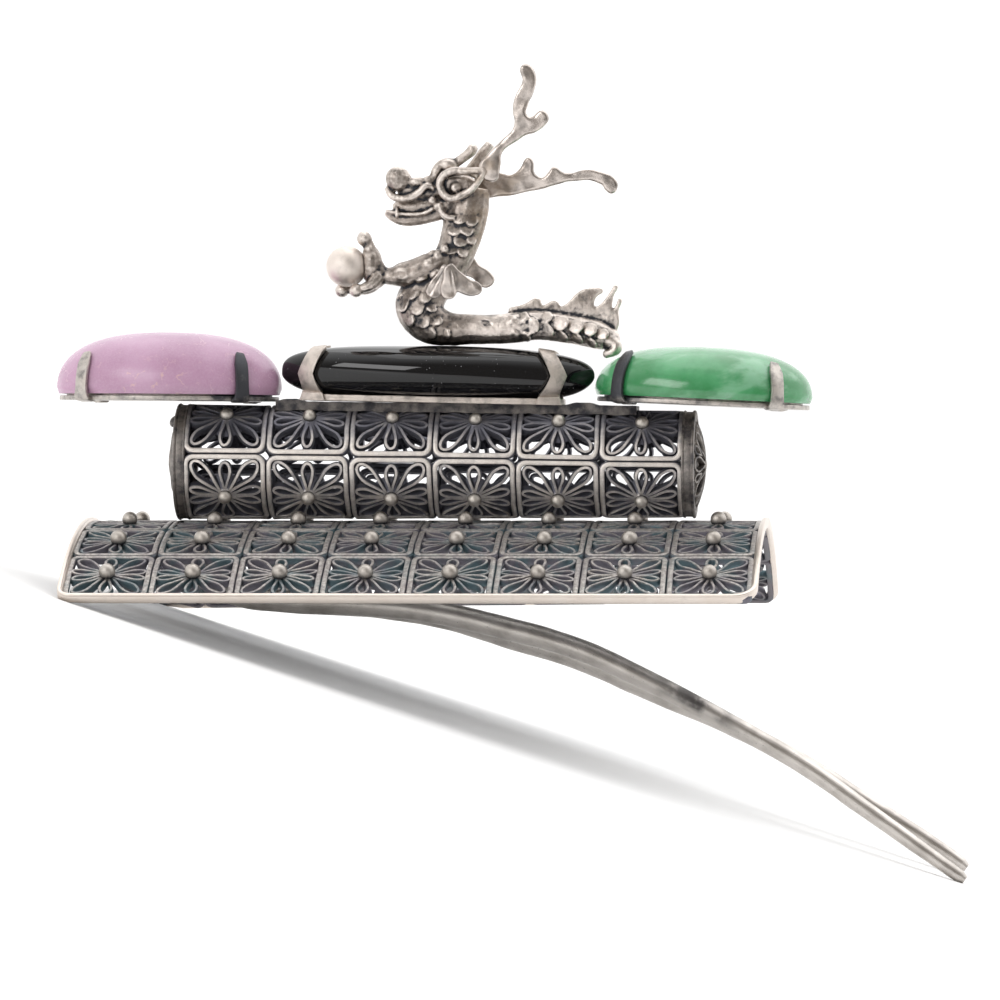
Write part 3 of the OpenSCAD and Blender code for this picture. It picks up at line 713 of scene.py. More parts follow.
def tile_rail(side, groove, width, low, high, cuts, corner=0.95):
    """The frame wire of one tile: a square ring with rounded corners, cut across where it will bend."""
    bpy.ops.mesh.primitive_plane_add(size=side - groove)
    ring = bpy.context.object
    with Editing(ring):
        bpy.ops.mesh.bevel(offset=corner, segments=4, affect="VERTICES")
    with Editing(ring, "FACE") as edit:
        bpy.ops.mesh.inset(thickness=width, depth=0)
        edit.choose(lambda face: face.calc_center_median().length < side / 4)
        bpy.ops.mesh.delete(type="FACE")
    cut_across(ring, 1, side / 3, cuts)
    carve(ring, "SOLIDIFY", thickness=high - low, offset=-1)
    return soften(raise_by(ring, high), 0.16, 60)


# Direction in degrees, reach as a share of the tile, and width of the petals on one half of a tile
PETALS = ((12, 1.0, 0.85), (46, 1.28, 1.3), (90, 0.95, 1.05), (134, 1.28, 1.3), (168, 1.0, 0.85))
# How far the loops stand over the middle of the sheet, and how wide the groove between two tiles is
LACE_TOP = 0.33
GROOVE = 0.1


def lace_tile(side, rail, wire, height, hub, cuts, seed):
    """One tile: the rail on a web that closes the groove, loops to its corners and sides, a hub."""
    chance = random.Random(seed)
    rail_top = LACE_TOP - 0.03
    parts = [
        tile_rail(side, GROOVE, rail, -0.1, rail_top, cuts),
        tile_rail(side, 0.0, rail + 0.01, rail_top - height * 0.92, 0.13, cuts, corner=0.85),
    ]
    inner = (side - GROOVE) / 2 - rail
    for half in (0, 180):
        for turn, share, width in PETALS:
            reach = inner * share * chance.uniform(0.97, 1.02)
            loop = petal(0.35, reach, width * chance.uniform(0.9, 1.1), wire, height)
            loop.rotation_euler = (0, 0, math.radians(half + turn + chance.uniform(-2, 2)))
            loop.location = (0, 0, LACE_TOP - height / 2 - 0.02 + chance.uniform(-0.05, 0.03))
            parts.append(loop)
    bpy.ops.mesh.primitive_cone_add(
        vertices=16, radius1=hub, radius2=0.5, depth=height * 0.75,
        location=(0, 0, LACE_TOP - height * 0.375))
    parts.append(bpy.context.object)
    return fuse(parts, "tile")


def in_row(k, count):
    """Place of the k-th of so many in a row, counted from the row's middle."""
    return k - (count - 1) / 2


def lace_strip(side, count, seed, **sizes):
    """A column of tiles side by side along Y, flat, with its middle at the origin."""
    tiles = [lace_tile(side, seed=seed + k, **sizes) for k in range(count)]
    for k, tile in enumerate(tiles):
        tile.location.y = in_row(k, count) * side
    return fuse(tiles, "strip")


def granule(size, place):
    bpy.ops.mesh.primitive_uv_sphere_add(segments=18, ring_count=12, radius=size / 2)
    ball = bpy.context.object
    ball.matrix_world = place
    return ball


def over_arch(x, angle, radius, height):
    """Places something on the arch, at this length and angle from the crest."""
    return (
        Matrix.Translation((x, 0, -radius)) @ Matrix.Rotation(angle, 4, "X")
        @ Matrix.Translation((0, 0, radius + height))
    )


def keep(item, name, numbers):
    """Keeps a number at each point of the mesh, for its material."""
    mark = item.data.attributes.new(name, "FLOAT", "POINT")
    for spot, number in zip(mark.data, numbers):
        spot.value = number
    return item


def keep_level(item, radius):
    """Keeps how far each point stands over an arch along X whose axis is this far under Z = 0."""
    return keep(item, "level", [
        math.hypot(vertex.co.y, vertex.co.z + radius) - radius for vertex in item.data.vertices])


def over_floor(co):
    """Lifts a point that would come out under the floor."""
    ground = (0.01 - LIFT - co.x * math.sin(LEAN)) / math.cos(LEAN)
    return Vector((co.x, co.y, max(ground, co.z)))


# Half the length and half the depth of the plate, and how far its granules' middles stand over it
PLATE_END = 34
PLATE_SIDE = 24
GRANULE_RISE = 0.66


def hang(co):
    """The rear edge of the plate hangs lower than the front one, most of all near the left end."""
    share = (PLATE_END - co.x) / (2 * PLATE_END)
    drop = (0.7 + 0.8 * share) * (max(co.y, 0) / PLATE_SIDE) ** 2
    return over_floor(Vector((co.x, co.y, co.z - min(drop, max(0, (co.x + PLATE_END) * 0.3)))))


class ORNAMENT_OT_plate_filigree(bpy.types.Operator):
    """Lays the arched sheet of looped wire, one tile after the other"""

    bl_idname = "ornament.plate_filigree"
    bl_label = "Plate Filigree"

    def execute(self, context):
        plate = context.scene.ornament.plate
        side, radius = mm(plate.tile), mm(plate.arch)
        chance = random.Random(5)
        strips = []
        for k in range(2):
            strip = lace_strip(
                side, plate.rows, 40 * k,
                rail=mm(plate.rail), wire=mm(plate.wire), height=mm(plate.wire_height),
                hub=1.1, cuts=2)
            # The outer tiles end inside the rim
            reshape(strip, lambda co: Vector((co.x, co.y * 0.992, co.z)))
            strips.append(arch_over(strip, radius))
        columns = [
            twin(strips[k % 2], Matrix.Translation((in_row(k, plate.columns) * side, 0, 0))
                 @ Matrix.Rotation(math.pi * (k // 2 % 2), 4, "Z"))
            for k in range(plate.columns)
        ]
        discard(*strips)
        lace = keep_level(reshape(fuse(columns, "plate"), uneven((0.07, 0.8))), radius)
        finish_piece(reshape(lace, hang), "plate_filigree", plate_silver(), "silver", ["base_plate"])
        step = 2 * math.asin(side / 2 / radius)
        balls = [
            granule(mm(plate.granule) * chance.uniform(0.96, 1.03), over_arch(
                in_row(k, plate.columns) * side + chance.uniform(-0.12, 0.12),
                in_row(j, plate.rows) * step + (0.01 if j == 4 else 0), radius, GRANULE_RISE))
            for k in range(plate.columns) for j in range(plate.rows)
        ]
        look = granule_silver("Granule silver", (0.54, 0.51, 0.475))
        granules = keep_level(fuse(balls, "granules"), radius)
        finish_piece(reshape(granules, hang), "plate_granules", look, "silver")
        return {"FINISHED"}


class ORNAMENT_OT_plate_rim(bpy.types.Operator):
    """Bends the bright band and its top wire round the edge of the plate"""

    bl_idname = "ornament.plate_rim"
    bl_label = "Plate Rim"

    def execute(self, context):
        plate = context.scene.ornament.plate
        radius = mm(plate.arch)
        half_x = plate.columns * mm(plate.tile) / 2 + 0.5
        half_arc = plate.rows * mm(plate.tile) / 2 - 0.02
        rim = self.band(half_x, half_arc, -0.43, 0.5, 0.6)
        bead = self.band(half_x - 0.02, half_arc - 0.02, 0.34, 0.62, 0.42)
        rims = reshape(fuse([arch_over(rim, radius), arch_over(bead, radius)], "rim"), hang)
        look = plain_silver("Rim silver", (0.77, 0.705, 0.65), (0.55, 0.50, 0.46), 0.95, 0.3)
        finish_piece(rims, "plate_rim", look, "silver", angle=50)
        return {"FINISHED"}

    def band(self, half_x, half_arc, low, high, wall):
        """A ring of sheet round the flat plan of the plate, before it is bent over the arch."""
        bpy.ops.mesh.primitive_plane_add(size=2)
        ring = bpy.context.object
        ring.scale = (half_x, half_arc, 1)
        settle(ring)
        for x, y, size in ((-1, -1, 1.3), (1, -1, 2.3), (-1, 1, 1.8), (1, 1, 1.8)):
            with Editing(ring) as edit:
                edit.choose(lambda v: v.co.x * x > half_x - 0.01 and v.co.y * y > half_arc - 0.01)
                bpy.ops.mesh.bevel(offset=size, segments=6, affect="VERTICES")
        with Editing(ring, "FACE"):
            bpy.ops.mesh.delete(type="ONLY_FACE")
        for axis in (0, 1):
            cut_across(ring, axis, 5, 40)
        with Editing(ring, "EDGE"):
            bpy.ops.mesh.extrude_region_move(TRANSFORM_OT_translate={"value": (0, 0, high - low)})
        face_out(raise_by(ring, low))
        carve(ring, "SOLIDIFY", thickness=wall, offset=-1)
        return soften(ring, min(wall, high - low) * 0.3, 60)


def drum_axis(context):
    """The upright place of the drum's own frame, whose X is its axis."""
    drum = context.scene.ornament.drum
    return Matrix.Translation((mm(drum.middle), 0, mm(drum.level))) @ Matrix.Rotation(drum.lean, 4, "Y")


DRUM_COLUMNS = 6
DRUM_ROWS = 4
DRUM_LENGTH = DRUM_COLUMNS * 8.3 + 2.2
# How far the seams of the middle columns are turned about the axis
DRUM_PHASE = math.radians(-39.5)
# Mean diameter of the drum's granules, and how far their middles stand over its wall
DRUM_GRANULE = 1.42
DRUM_GRANULE_RISE = 0.45


def drum_at(drum, along):
    """Radius of the drum's wall at this distance from its middle."""
    return mm(drum.radius) - drum.taper * along


def drum_turn(drum, column):
    return DRUM_PHASE - in_row(column, DRUM_COLUMNS) * drum.twist


class ORNAMENT_OT_drum_filigree(bpy.types.Operator):
    """Rolls the openwork drum out of columns of four tiles, with its end bands"""

    bl_idname = "ornament.drum_filigree"
    bl_label = "Drum Filigree"

    def execute(self, context):
        plate, drum = context.scene.ornament.plate, context.scene.ornament.drum
        side, radius, axis = mm(drum.tile), mm(drum.radius), drum_axis(context)
        chance = random.Random(9)
        rolled = DRUM_ROWS * side / (2 * math.pi)
        share = radius / rolled
        strips = []
        for k in range(2):
            strip = lace_strip(
                side, DRUM_ROWS, 200 + 40 * k, rail=mm(plate.rail) * 0.9, wire=mm(plate.wire) * 1.07,
                height=mm(drum.lace), hub=2.1, cuts=7)
            arch_over(strip, rolled)
            strips.append(reshape(strip, lambda co: Vector((co.x, co.y * share, (co.z + rolled) * share))))
        columns = [
            twin(strips[k % 2], Matrix.Translation((in_row(k, DRUM_COLUMNS) * side, 0, 0))
                 @ Matrix.Rotation(math.radians(90 + 45) - drum_turn(drum, k), 4, "X"))
            for k in range(DRUM_COLUMNS)
        ]
        discard(*strips)

        def narrow(co):
            slim = drum_at(drum, co.x) / radius
            return Vector((co.x, co.y * slim, co.z * slim))

        lace = reshape(reshape(fuse(columns, "drum"), narrow), uneven((0.06, 0.8)))
        lace.matrix_world = axis
        look = drum_silver(mm(drum.level), radius, drum.lean, drum.taper)
        finish_piece(settle(lace), "drum_filigree", look, "dark_silver", ["drum"])
        balls = []
        for k in range(DRUM_COLUMNS):
            x = in_row(k, DRUM_COLUMNS) * side
            # The fourth granule of a column would be inside the deck
            for j in range(3):
                place = (
                    Matrix.Translation((x, 0, 0))
                    @ Matrix.Rotation(math.radians(90 - 90 * j) - drum_turn(drum, k), 4, "X")
                    @ Matrix.Translation((0, 0, drum_at(drum, x) + DRUM_GRANULE_RISE)))
                balls.append(granule(DRUM_GRANULE * chance.uniform(0.95, 1.05), place))
        granules = fuse(balls, "balls")
        keep(granules, "level", [
            math.hypot(v.co.y, v.co.z) - drum_at(drum, v.co.x) for v in granules.data.vertices])
        granules.matrix_world = axis
        look = granule_silver("Drum granule silver", (0.58, 0.55, 0.51))
        finish_piece(settle(granules), "drum_granules", look, "dark_silver")
        self.bands(axis, drum)
        return {"FINISHED"}

    def bands(self, axis, drum):
        """A plain ring at each end, with a bright wire beside the tiles."""
        rings = []
        for end in (-1, 1):
            radius = drum_at(drum, end * DRUM_LENGTH / 2)
            bpy.ops.mesh.primitive_cylinder_add(
                vertices=64, radius=radius + 0.22, depth=1.25, end_fill_type="NOTHING",
                rotation=(0, math.pi / 2, 0), location=(end * (DRUM_LENGTH / 2 - 0.62), 0, 0))
            ring = settle(bpy.context.object)
            rings.append(soften(carve(ring, "SOLIDIFY", thickness=0.5, offset=-1), 0.14))
            for inward, thin in ((0.2, 0.18), (1.15, 0.15)):
                rings.append(wire_ring(
                    radius + 0.2, thin, rotation=(0, math.pi / 2, 0),
                    location=(end * (DRUM_LENGTH / 2 - inward), 0, 0)))
        band = fuse(rings, "bands")
        band.matrix_world = axis
        look = plain_silver("Drum band silver", (0.42, 0.39, 0.365), (0.05, 0.05, 0.058), 0.5, 0.6)
        finish_piece(settle(band), "drum_bands", look, "dark_silver")


class ORNAMENT_OT_drum_caps(bpy.types.Operator):
    """Closes the drum with a rough dome at the left end and a domed flower at the right end"""

    bl_idname = "ornament.drum_caps"
    bl_label = "Drum Caps"

    def execute(self, context):
        drum, axis = context.scene.ornament.drum, drum_axis(context)
        look = plain_silver("Cap silver", (0.44, 0.41, 0.38), (0.05, 0.05, 0.058), 0.5, 0.7)
        for end, name in ((-1, "drum_cap_left"), (1, "drum_cap_right")):
            edge = drum_at(drum, end * DRUM_LENGTH / 2) - 0.45
            shapes = self.wrinkles(edge) if end < 0 else self.flower(edge)
            cap = fuse([self.shell(edge)] + shapes, name)

            def swell(co):
                """Domes the flat cap and turns it to face along the axis."""
                dome = co.z + 1 - (co.x ** 2 + co.y ** 2) / edge ** 2
                return Vector((end * dome, co.y, -end * co.x))

            reshape(reshape(cap, swell), uneven((0.06, 0.9)))
            cap.matrix_world = axis @ Matrix.Translation((end * (DRUM_LENGTH / 2 - 0.3), 0, 0))
            finish_piece(settle(cap), name + "_wrought", look, "dark_silver", [name])
        return {"FINISHED"}

    def shell(self, edge):
        """The thin disc behind the wires, still flat."""
        bpy.ops.mesh.primitive_grid_add(x_subdivisions=24, y_subdivisions=24, size=2)
        disc = bpy.context.object
        reshape(disc, lambda co: Vector((
            edge * co.x * math.sqrt(1 - co.y ** 2 / 2), edge * co.y * math.sqrt(1 - co.x ** 2 / 2), -0.25)))
        return face_out(carve(disc, "SOLIDIFY", thickness=0.3, offset=-1))

    def wrinkles(self, edge):
        """Rough rings round the left dome and a drop of solder on its rim."""
        rings = ((0.97, 0.24), (0.84, 0.14), (0.68, 0.18), (0.5, 0.14), (0.3, 0.18))
        made = [wire_ring(edge * share, thin) for share, thin in rings]
        return made + [lump((edge * 0.8, -edge * 0.25, 0.25), (0.6, 0.55, 0.5))]

    def flower(self, edge):
        """Eight long loops, eight short ones and a rim, still flat."""
        parts = [wire_ring(edge - 0.1, 0.22), wire_ring(edge - 0.55, 0.14)]
        parts.append(lump((0, 0, 0.05), (0.75, 0.75, 0.3)))
        for k in range(16):
            start, width = (edge * 0.5, 0.75) if k % 2 else (0.5, 1.5)
            loop = petal(start, edge - 0.35, width, 0.34, 0.6)
            loop.rotation_euler = (0, 0, math.radians(22.5 * k))
            parts.append(loop)
        return parts


# Stones and seats

def seat_place(x, level, fall):
    """Where a seat lies: along the plate, over its crest, and its fall to the right in degrees."""
    return Matrix.Translation((x, 0, level)) @ Matrix.Rotation(math.radians(fall), 4, "Y")


AT_LILAC = seat_place(-26, 12.3, 0.5)
AT_BLACK = seat_place(1, 12.08, 1.2)
AT_GREEN = seat_place(27.6, 11.77, 2.6)
# Thickness of the back plates, and how far the oval stones lie over theirs
SEAT_T = 0.45
BLACK_SEAT_T = 0.35
OVAL_LIFT = 0.3
# The black stone's height over and under its girdle, how far it lies over its seat, and how far
# its right end is raised against its middle
BLACK_UP, BLACK_DOWN, BLACK_BASE = 2.94, 2.39, 0.36
BLACK_WEDGE = 0.14
# How full the oval stones are: 2 is an ellipsoid
DOME = 2.5
# How far the prongs lean to the ends of the stone
PRONG_LEAN = 0.4
# How far round the stone each prong stands, and how high it reaches, in degrees
LILAC_PRONGS = ((46, 33), (134, 33), (226, 33), (314, 33))
GREEN_PRONGS = ((47, 42), (138, 42), (222, 46), (313, 38))


def power(value, exponent):
    return math.copysign(abs(value) ** exponent, value)


def on_dome(half, way, level):
    """A point of an oval stone and its outward normal, by two angles in radians."""
    grow = math.cos(level) ** (2 / DOME)
    x, y = half[0] * grow * math.cos(way), half[1] * grow * math.sin(way)
    z = half[2] * math.sin(level) ** (2 / DOME)
    pull = grow ** (DOME - 2) if grow else 0
    slope = Vector((pull * x / half[0] ** 2, pull * y / half[1] ** 2, (z / half[2]) ** (DOME - 1) / half[2]))
    return Vector((x, y, z)), slope.normalized()


def prong_way(way, level):
    """Where round the stone a prong is at this level, so that it stands steeply."""
    grow = math.cos(level) ** (2 / DOME)
    turn = math.acos(max(-1, min(1, math.cos(way) * (1 - PRONG_LEAN * (1 - grow)) / grow)))
    return turn if way < math.pi else 2 * math.pi - turn


def on_black(half, t, turn):
    """A point of the black stone and its normal: t runs along it, turn goes round it from the front."""
    full = 3.3 if t < 0 else 2.55
    t = max(-1, min(1, t))
    above = BLACK_UP * (1 - abs(t) ** full) ** (1 / full)
    below = (BLACK_DOWN + BLACK_WEDGE * t) * (1 - t ** 6) ** 0.6
    rise = above if math.sin(turn) > 0 else below
    width = half[1] * (1 - t * t) ** 0.75
    point = Vector((t * half[0], -width * power(math.cos(turn), 0.8),
                    BLACK_WEDGE * t + rise * power(math.sin(turn), 0.8)))
    normal = Vector((0.02 * t, -power(math.cos(turn), 1.2) / max(width, 0.01),
                     power(math.sin(turn), 1.2) / max(rise, 0.01)))
    return point, normal.normalized()


def ovals(stones):
    """Colour, half size, place and prongs of the two oval stones."""
    rows = (
        ("lilac", stones.lilac_length, stones.lilac_height, AT_LILAC, LILAC_PRONGS),
        ("green", stones.green_length, stones.green_height, AT_GREEN, GREEN_PRONGS),
    )
    return [
        (colour, (mm(long) / 2, mm(stones.width) / 2, mm(tall)), place, prongs)
        for colour, long, tall, place, prongs in rows
    ]


def half_black(stones):
    return mm(stones.black_length) / 2, mm(stones.black_width) / 2


class ORNAMENT_OT_stones(bpy.types.Operator):
    """Cuts the two oval cabochons and the long pointed one"""

    bl_idname = "ornament.stones"
    bl_label = "Stones"

    def execute(self, context):
        stones = context.scene.ornament.stones
        looks = {"lilac": lilac_stone(), "green": green_stone()}
        for colour, half, place, _ in ovals(stones):
            stone, name = self.cabochon(half), "stone_" + colour
            stone.matrix_world = place @ Matrix.Translation((0, 0, SEAT_T + OVAL_LIFT))
            finish_piece(settle(stone), name + "_polished", looks[colour], colour + "_stone", [name], 50)
        stone = self.pointed(half_black(stones))
        stone.matrix_world = AT_BLACK @ Matrix.Translation((0, 0, BLACK_BASE + BLACK_DOWN))
        finish_piece(settle(stone), "stone_black_polished", black_stone(), "black_stone", ["stone_black"], 60)
        return {"FINISHED"}

    def cabochon(self, half):
        """A ball cut in half, its dome filled out, with a small bevel at the girdle."""
        bpy.ops.mesh.primitive_uv_sphere_add(segments=96, ring_count=64, radius=1)
        stone = bpy.context.object
        with Editing(stone):
            bpy.ops.mesh.bisect(plane_co=(0, 0, 0), plane_no=(0, 0, 1), use_fill=True, clear_inner=True)

        def fill_out(co):
            level = math.atan2(max(co.z, 0), math.hypot(co.x, co.y))
            grow = math.cos(level) ** (2 / DOME)
            way = math.atan2(co.y, co.x)
            inward, down = (0.25, 0.12) if co.z < 0.001 else (0, 0)
            return Vector((
                (half[0] * grow - inward) * math.cos(way), (half[1] * grow - inward) * math.sin(way),
                half[2] * math.sin(level) ** (2 / DOME) - down))

        return face_out(reshape(stone, fill_out))

    def pointed(self, half):
        """A ball with its poles at both ends, drawn out to two points."""
        bpy.ops.mesh.primitive_uv_sphere_add(
            segments=96, ring_count=80, radius=1, rotation=(0, math.pi / 2, 0))
        stone = settle(bpy.context.object)

        def draw_out(co):
            t = math.copysign(1 - (1 - min(1, abs(co.x))) ** 1.4, co.x)
            return on_black(half, 0.9995 * t, math.atan2(co.z, -co.y))[0]

        return reshape(stone, draw_out)


class ORNAMENT_OT_seats(bpy.types.Operator):
    """Makes the back plates of the stones and bends their prongs over them"""

    bl_idname = "ornament.seats"
    bl_label = "Seats and Prongs"

    def execute(self, context):
        stones = context.scene.ornament.stones
        bright = plain_silver("Black seat silver", (0.70, 0.64, 0.59), (0.22, 0.20, 0.185), 0.72, 0.9)
        worn = seat_silver()
        for colour, half, place, prongs in ovals(stones):
            top = SEAT_T + OVAL_LIFT - 0.05
            parts = [
                self.back_plate(half[0] - 0.3, half[1] - 0.3, 1.0, 0, SEAT_T),
                self.back_plate(half[0] - 1.0, half[1] - 1.0, 1.0, SEAT_T - 0.05, top),
            ]
            parts += [self.oval_prong(half, *[math.radians(angle) for angle in prong]) for prong in prongs]
            self.mount(parts, "seat_" + colour, place, worn)
        half = half_black(stones)
        plan = (12.8, 3.4, 0.5)
        parts = [self.back_plate(*plan, -0.05, BLACK_SEAT_T), self.collar(*plan, 0.2, 0.6)]
        parts += [self.black_prong(half, end, side) for end in (-1, 1) for side in (-1, 1)]
        self.mount(parts, "seat_black", AT_BLACK, bright)
        return {"FINISHED"}

    def mount(self, parts, name, place, look):
        seat = fuse(parts, name)
        seat.matrix_world = place
        finish_piece(settle(seat), name + "_wrought", look, "silver", [name])

    def drum_shape(self, low, high, ends):
        bpy.ops.mesh.primitive_cylinder_add(
            vertices=96, radius=1, depth=high - low, end_fill_type=ends, location=(0, 0, (low + high) / 2))
        return settle(bpy.context.object)

    def back_plate(self, half_x, half_y, squareness, low, high):
        """A slightly uneven plate: an oval at squareness 1, and squarer under it."""
        def spread(co):
            grow = 1 + 0.006 * noise.noise(co * 4)
            return Vector((
                half_x * power(co.x, squareness) * grow, half_y * power(co.y, squareness) * grow, co.z))

        return soften(reshape(self.drum_shape(low, high, "NGON"), spread), 0.1)

    def collar(self, half_x, half_y, squareness, low, high):
        """The edge of the back plate, hammered up against the stone."""
        def hammer(co):
            return Vector((
                half_x * power(co.x, squareness), half_y * power(co.y, squareness),
                co.z + 0.04 * noise.noise(Vector((co.x * 12, co.y, co.z)))))

        wall = reshape(self.drum_shape(low, high, "NOTHING"), hammer)
        return soften(carve(wall, "SOLIDIFY", thickness=0.3, offset=-1), 0.08)

    def oval_prong(self, half, way, reach):
        """A prong that rises beside the stone from the plate and leans in over it."""
        foot, out = on_dome(half, way, 0)
        up = Vector((0, 0, 1))
        # The foot, from under the stone outwards: way out, height, outward side and half width
        track = [
            (foot + out * outward + up * height, side.normalized(), half_w)
            for outward, height, side, half_w in (
                (-1.3, 0.25, -up, 0.5), (-0.5, 0.2, -up, 0.75), (-0.02, 0.25, out - up, 0.9),
                (0.08, 0.45, out, 0.82), (0.1, 0.8, out, 0.74))
        ]
        steps = 9
        for k in range(1, steps + 1):
            level = reach * k / steps
            point, normal = on_dome(half, prong_way(way, level), level)
            place = point + up * (SEAT_T + OVAL_LIFT) + normal * 0.1
            track.append((place, normal, 0.7 - 0.09 * max(0, k - 6)))
        rows = []
        for k, (point, normal, half_w) in enumerate(track):
            ahead = track[min(k + 1, len(track) - 1)][0] - track[max(k - 1, 0)][0]
            rows.append((point, normal, ahead.cross(normal).normalized() * half_w))
        return strap(rows, 0.42)

    def black_prong(self, half, end, side):
        """A wide prong that wraps the long stone from below to its top."""
        lift = Vector((0, 0, BLACK_BASE + BLACK_DOWN))
        rows = []
        for turn in range(-42, 70, 7):
            up, down = max(turn, 0) / 66, max(-turn, 0) / 38
            middle = 0.785 - 0.1 * up - 0.055 * down if end > 0 else -0.83 + 0.09 * up + 0.04 * down
            wide = 1.6 + 0.35 * down ** 2
            reach = wide / 2 / half[0] * (1 if turn < 58 else 0.82)
            low, normal = on_black(half, middle - reach, math.radians(turn))
            high, other = on_black(half, middle + reach, math.radians(turn))
            out = (normal + other).normalized()
            rows.append(((low + high) / 2 + lift + out * 0.1, out, (high - low) / 2))
        foot, _, half_w = rows[0]
        out = Vector((0, -1, -0.1)).normalized()
        for level, spread in ((0.8, 1.05), (0.3, 1.2), (0.0, 1.35)):
            down = Vector((foot.x, foot.y - 0.05, level))
            rows.insert(0, (down, out, Vector((half_w.x * spread, half_w.y, 0))))
        prong = strap(rows, 0.45)
        if side > 0:
            prong.scale = (1, -1, 1)
            face_out(settle(prong))
        return prong


DECK_SIZE = (36.1, 4.6)
DECK_MIDDLE = 2.0
# How far the underside and the top of the deck stand over the drum's wall
DECK_LOW, DECK_HIGH = 0.35, 0.71


class ORNAMENT_OT_deck(bpy.types.Operator):
    """Beats out the strip that carries the seats, with ragged solder along it"""

    bl_idname = "ornament.deck"
    bl_label = "Deck"

    def execute(self, context):
        drum = context.scene.ornament.drum
        bpy.ops.mesh.primitive_cube_add(size=1)
        bar = bpy.context.object
        bar.scale = (*DECK_SIZE, 1)
        bar.location = (DECK_MIDDLE, 0, 0)
        settle(bar)
        for axis, cuts in ((0, 180), (1, 12)):
            cut_across(bar, axis, 3, cuts)
        wall = mm(drum.radius)

        def beat(co):
            """Its underside follows the drum, and its top swells between the seats."""
            left = max(0, 1 - abs(co.x + 14.6) / 1.3)
            right = max(0, 1 - abs(co.x - 14.6) / 1.6)
            worn = noise.noise(Vector((co.x * 0.7, co.y, 1)))
            worn += noise.noise(Vector((co.x * 2.6, co.y * 2, 5))) * 0.6
            if co.z < 0:
                level = math.sqrt((wall + DECK_LOW) ** 2 - co.y ** 2) - 0.06 + 0.12 * worn
            else:
                level = wall + DECK_HIGH + min(1, 2 * max(left, right)) * 0.25 + 0.04 * worn
            return Vector((co.x, co.y * (1 + 0.02 * worn), level))

        reshape(bar, beat)
        bar.matrix_world = drum_axis(context) @ Matrix.Rotation(math.atan(drum.taper), 4, "Y")
        look = plain_silver("Deck silver", (0.27, 0.25, 0.23), (0.035, 0.035, 0.042), 0.4, 0.9)
        finish_piece(settle(bar), "deck_bar_wrought", look, "dark_silver", ["deck_bar"])
        return {"FINISHED"}


# Fork

# Along one tine from the closed end: x, height in front, height behind, half thickness
TINE_ROWS = [
    (-25.5, -1.85, -1.85, 1.15), (-22.8, -4.4, -4.4, 1.15), (-19.5, -6.7, -6.8, 1.15),
    (-14, -7.7, -7.9, 1.15), (-6, -8, -8.4, 1.15), (1, -8.75, -9.5, 1.16), (8, -10.3, -11.6, 1.14),
    (15, -12.25, -13.8, 1.09), (22, -15.35, -16.9, 1.02), (29.5, -19.2, -20.1, 0.95),
    (37.2, -23.5, -24, 0.9), (45, -28.95, -28.8, 0.81), (50, -32.5, -31.9, 0.72),
    (53.2, -34.75, -34.1, 0.66), (53.75, -35.12, -34.5, 0.42),
]


# Where the front and the rear tine run, and the half ring that joins them: middle and radius
FRONT_Y, REAR_Y = -5, 6
BEND_X, BEND_Y, BEND_R = -25.5, 0.5, 5.5


class ORNAMENT_OT_hair_fork(bpy.types.Operator):
    """Bends the wire of the fork, one tine, the closed end and the other tine"""

    bl_idname = "ornament.hair_fork"
    bl_label = "Hair Fork"

    def execute(self, context):
        front = [(x, FRONT_Y, z, r) for x, z, _, r in TINE_ROWS]
        rear = [(x, REAR_Y, z, r) for x, _, z, r in TINE_ROWS]
        height, radius = TINE_ROWS[0][1], TINE_ROWS[0][3]
        bend = [
            (BEND_X - BEND_R * math.cos(turn), BEND_Y + BEND_R * math.sin(turn), height, radius)
            for turn in [math.radians(degrees) for degrees in range(-67, 68, 22)]
        ]
        wire = tube(front[::-1] + bend + rear, sides=20, smoothness=8)
        reshape(wire, uneven((0.05, 0.45), (0.015, 1.8)))
        fork = reshape(fuse([face_out(wire), self.saddle(context)], "fork"), over_floor)
        finish_piece(fork, "hair_fork_wire", brushed_silver(), "brushed_silver", ["hair_fork"], 60)
        return {"FINISHED"}

    def saddle(self, context):
        """The small curved plate that joins the closed end to the arch."""
        bpy.ops.mesh.primitive_grid_add(x_subdivisions=2, y_subdivisions=16, size=1)
        sheet = bpy.context.object
        sheet.scale = (8, 12.2, 1)
        sheet.location = (-28, 0, -0.85)
        settle(sheet)
        carve(sheet, "SOLIDIFY", thickness=0.8, offset=0)
        return arch_over(soften(sheet, 0.12, 60), mm(context.scene.ornament.plate.arch))


# Dragon

# Rows of x, y, z and radius
NECK = [
    (4.4, 0, 33.6, 1.9), (4.1, 0, 31.6, 2.15), (3.6, 0, 29.6, 2.15), (3.15, 0, 28, 2.0),
    (2.5, 0, 26.4, 1.95), (1.3, 0, 24.8, 2.1), (-0.2, 0, 23.2, 2.35), (-0.75, 0, 21.6, 2.5),
    (0.2, 0, 20.15, 2.2), (2.2, 0, 19.45, 1.7), (4.4, -0.1, 19.4, 1.5), (6.8, -0.2, 19.4, 1.5),
    (9.2, -0.1, 19.6, 1.55), (11.1, 0, 19.8, 1.5), (13.1, 0.2, 19.6, 1.5), (15.1, 0.3, 19.3, 1.5),
    (16.9, 0.3, 18.9, 1.5), (18.1, 0.2, 18.4, 1.3), (18.7, 0, 17.8, 0.9),
]
ARM = [
    (2.2, -0.8, 26.6, 1.0), (1.2, -1.1, 26.2, 1.2), (0.2, -1.2, 25.7, 1.3), (-1.2, -1.2, 25.1, 1.35),
    (-2.4, -1.2, 24.85, 1.25), (-3.4, -1.1, 24.7, 0.95), (-4.3, -1, 24.8, 0.8), (-5, -1, 24.9, 0.9),
]
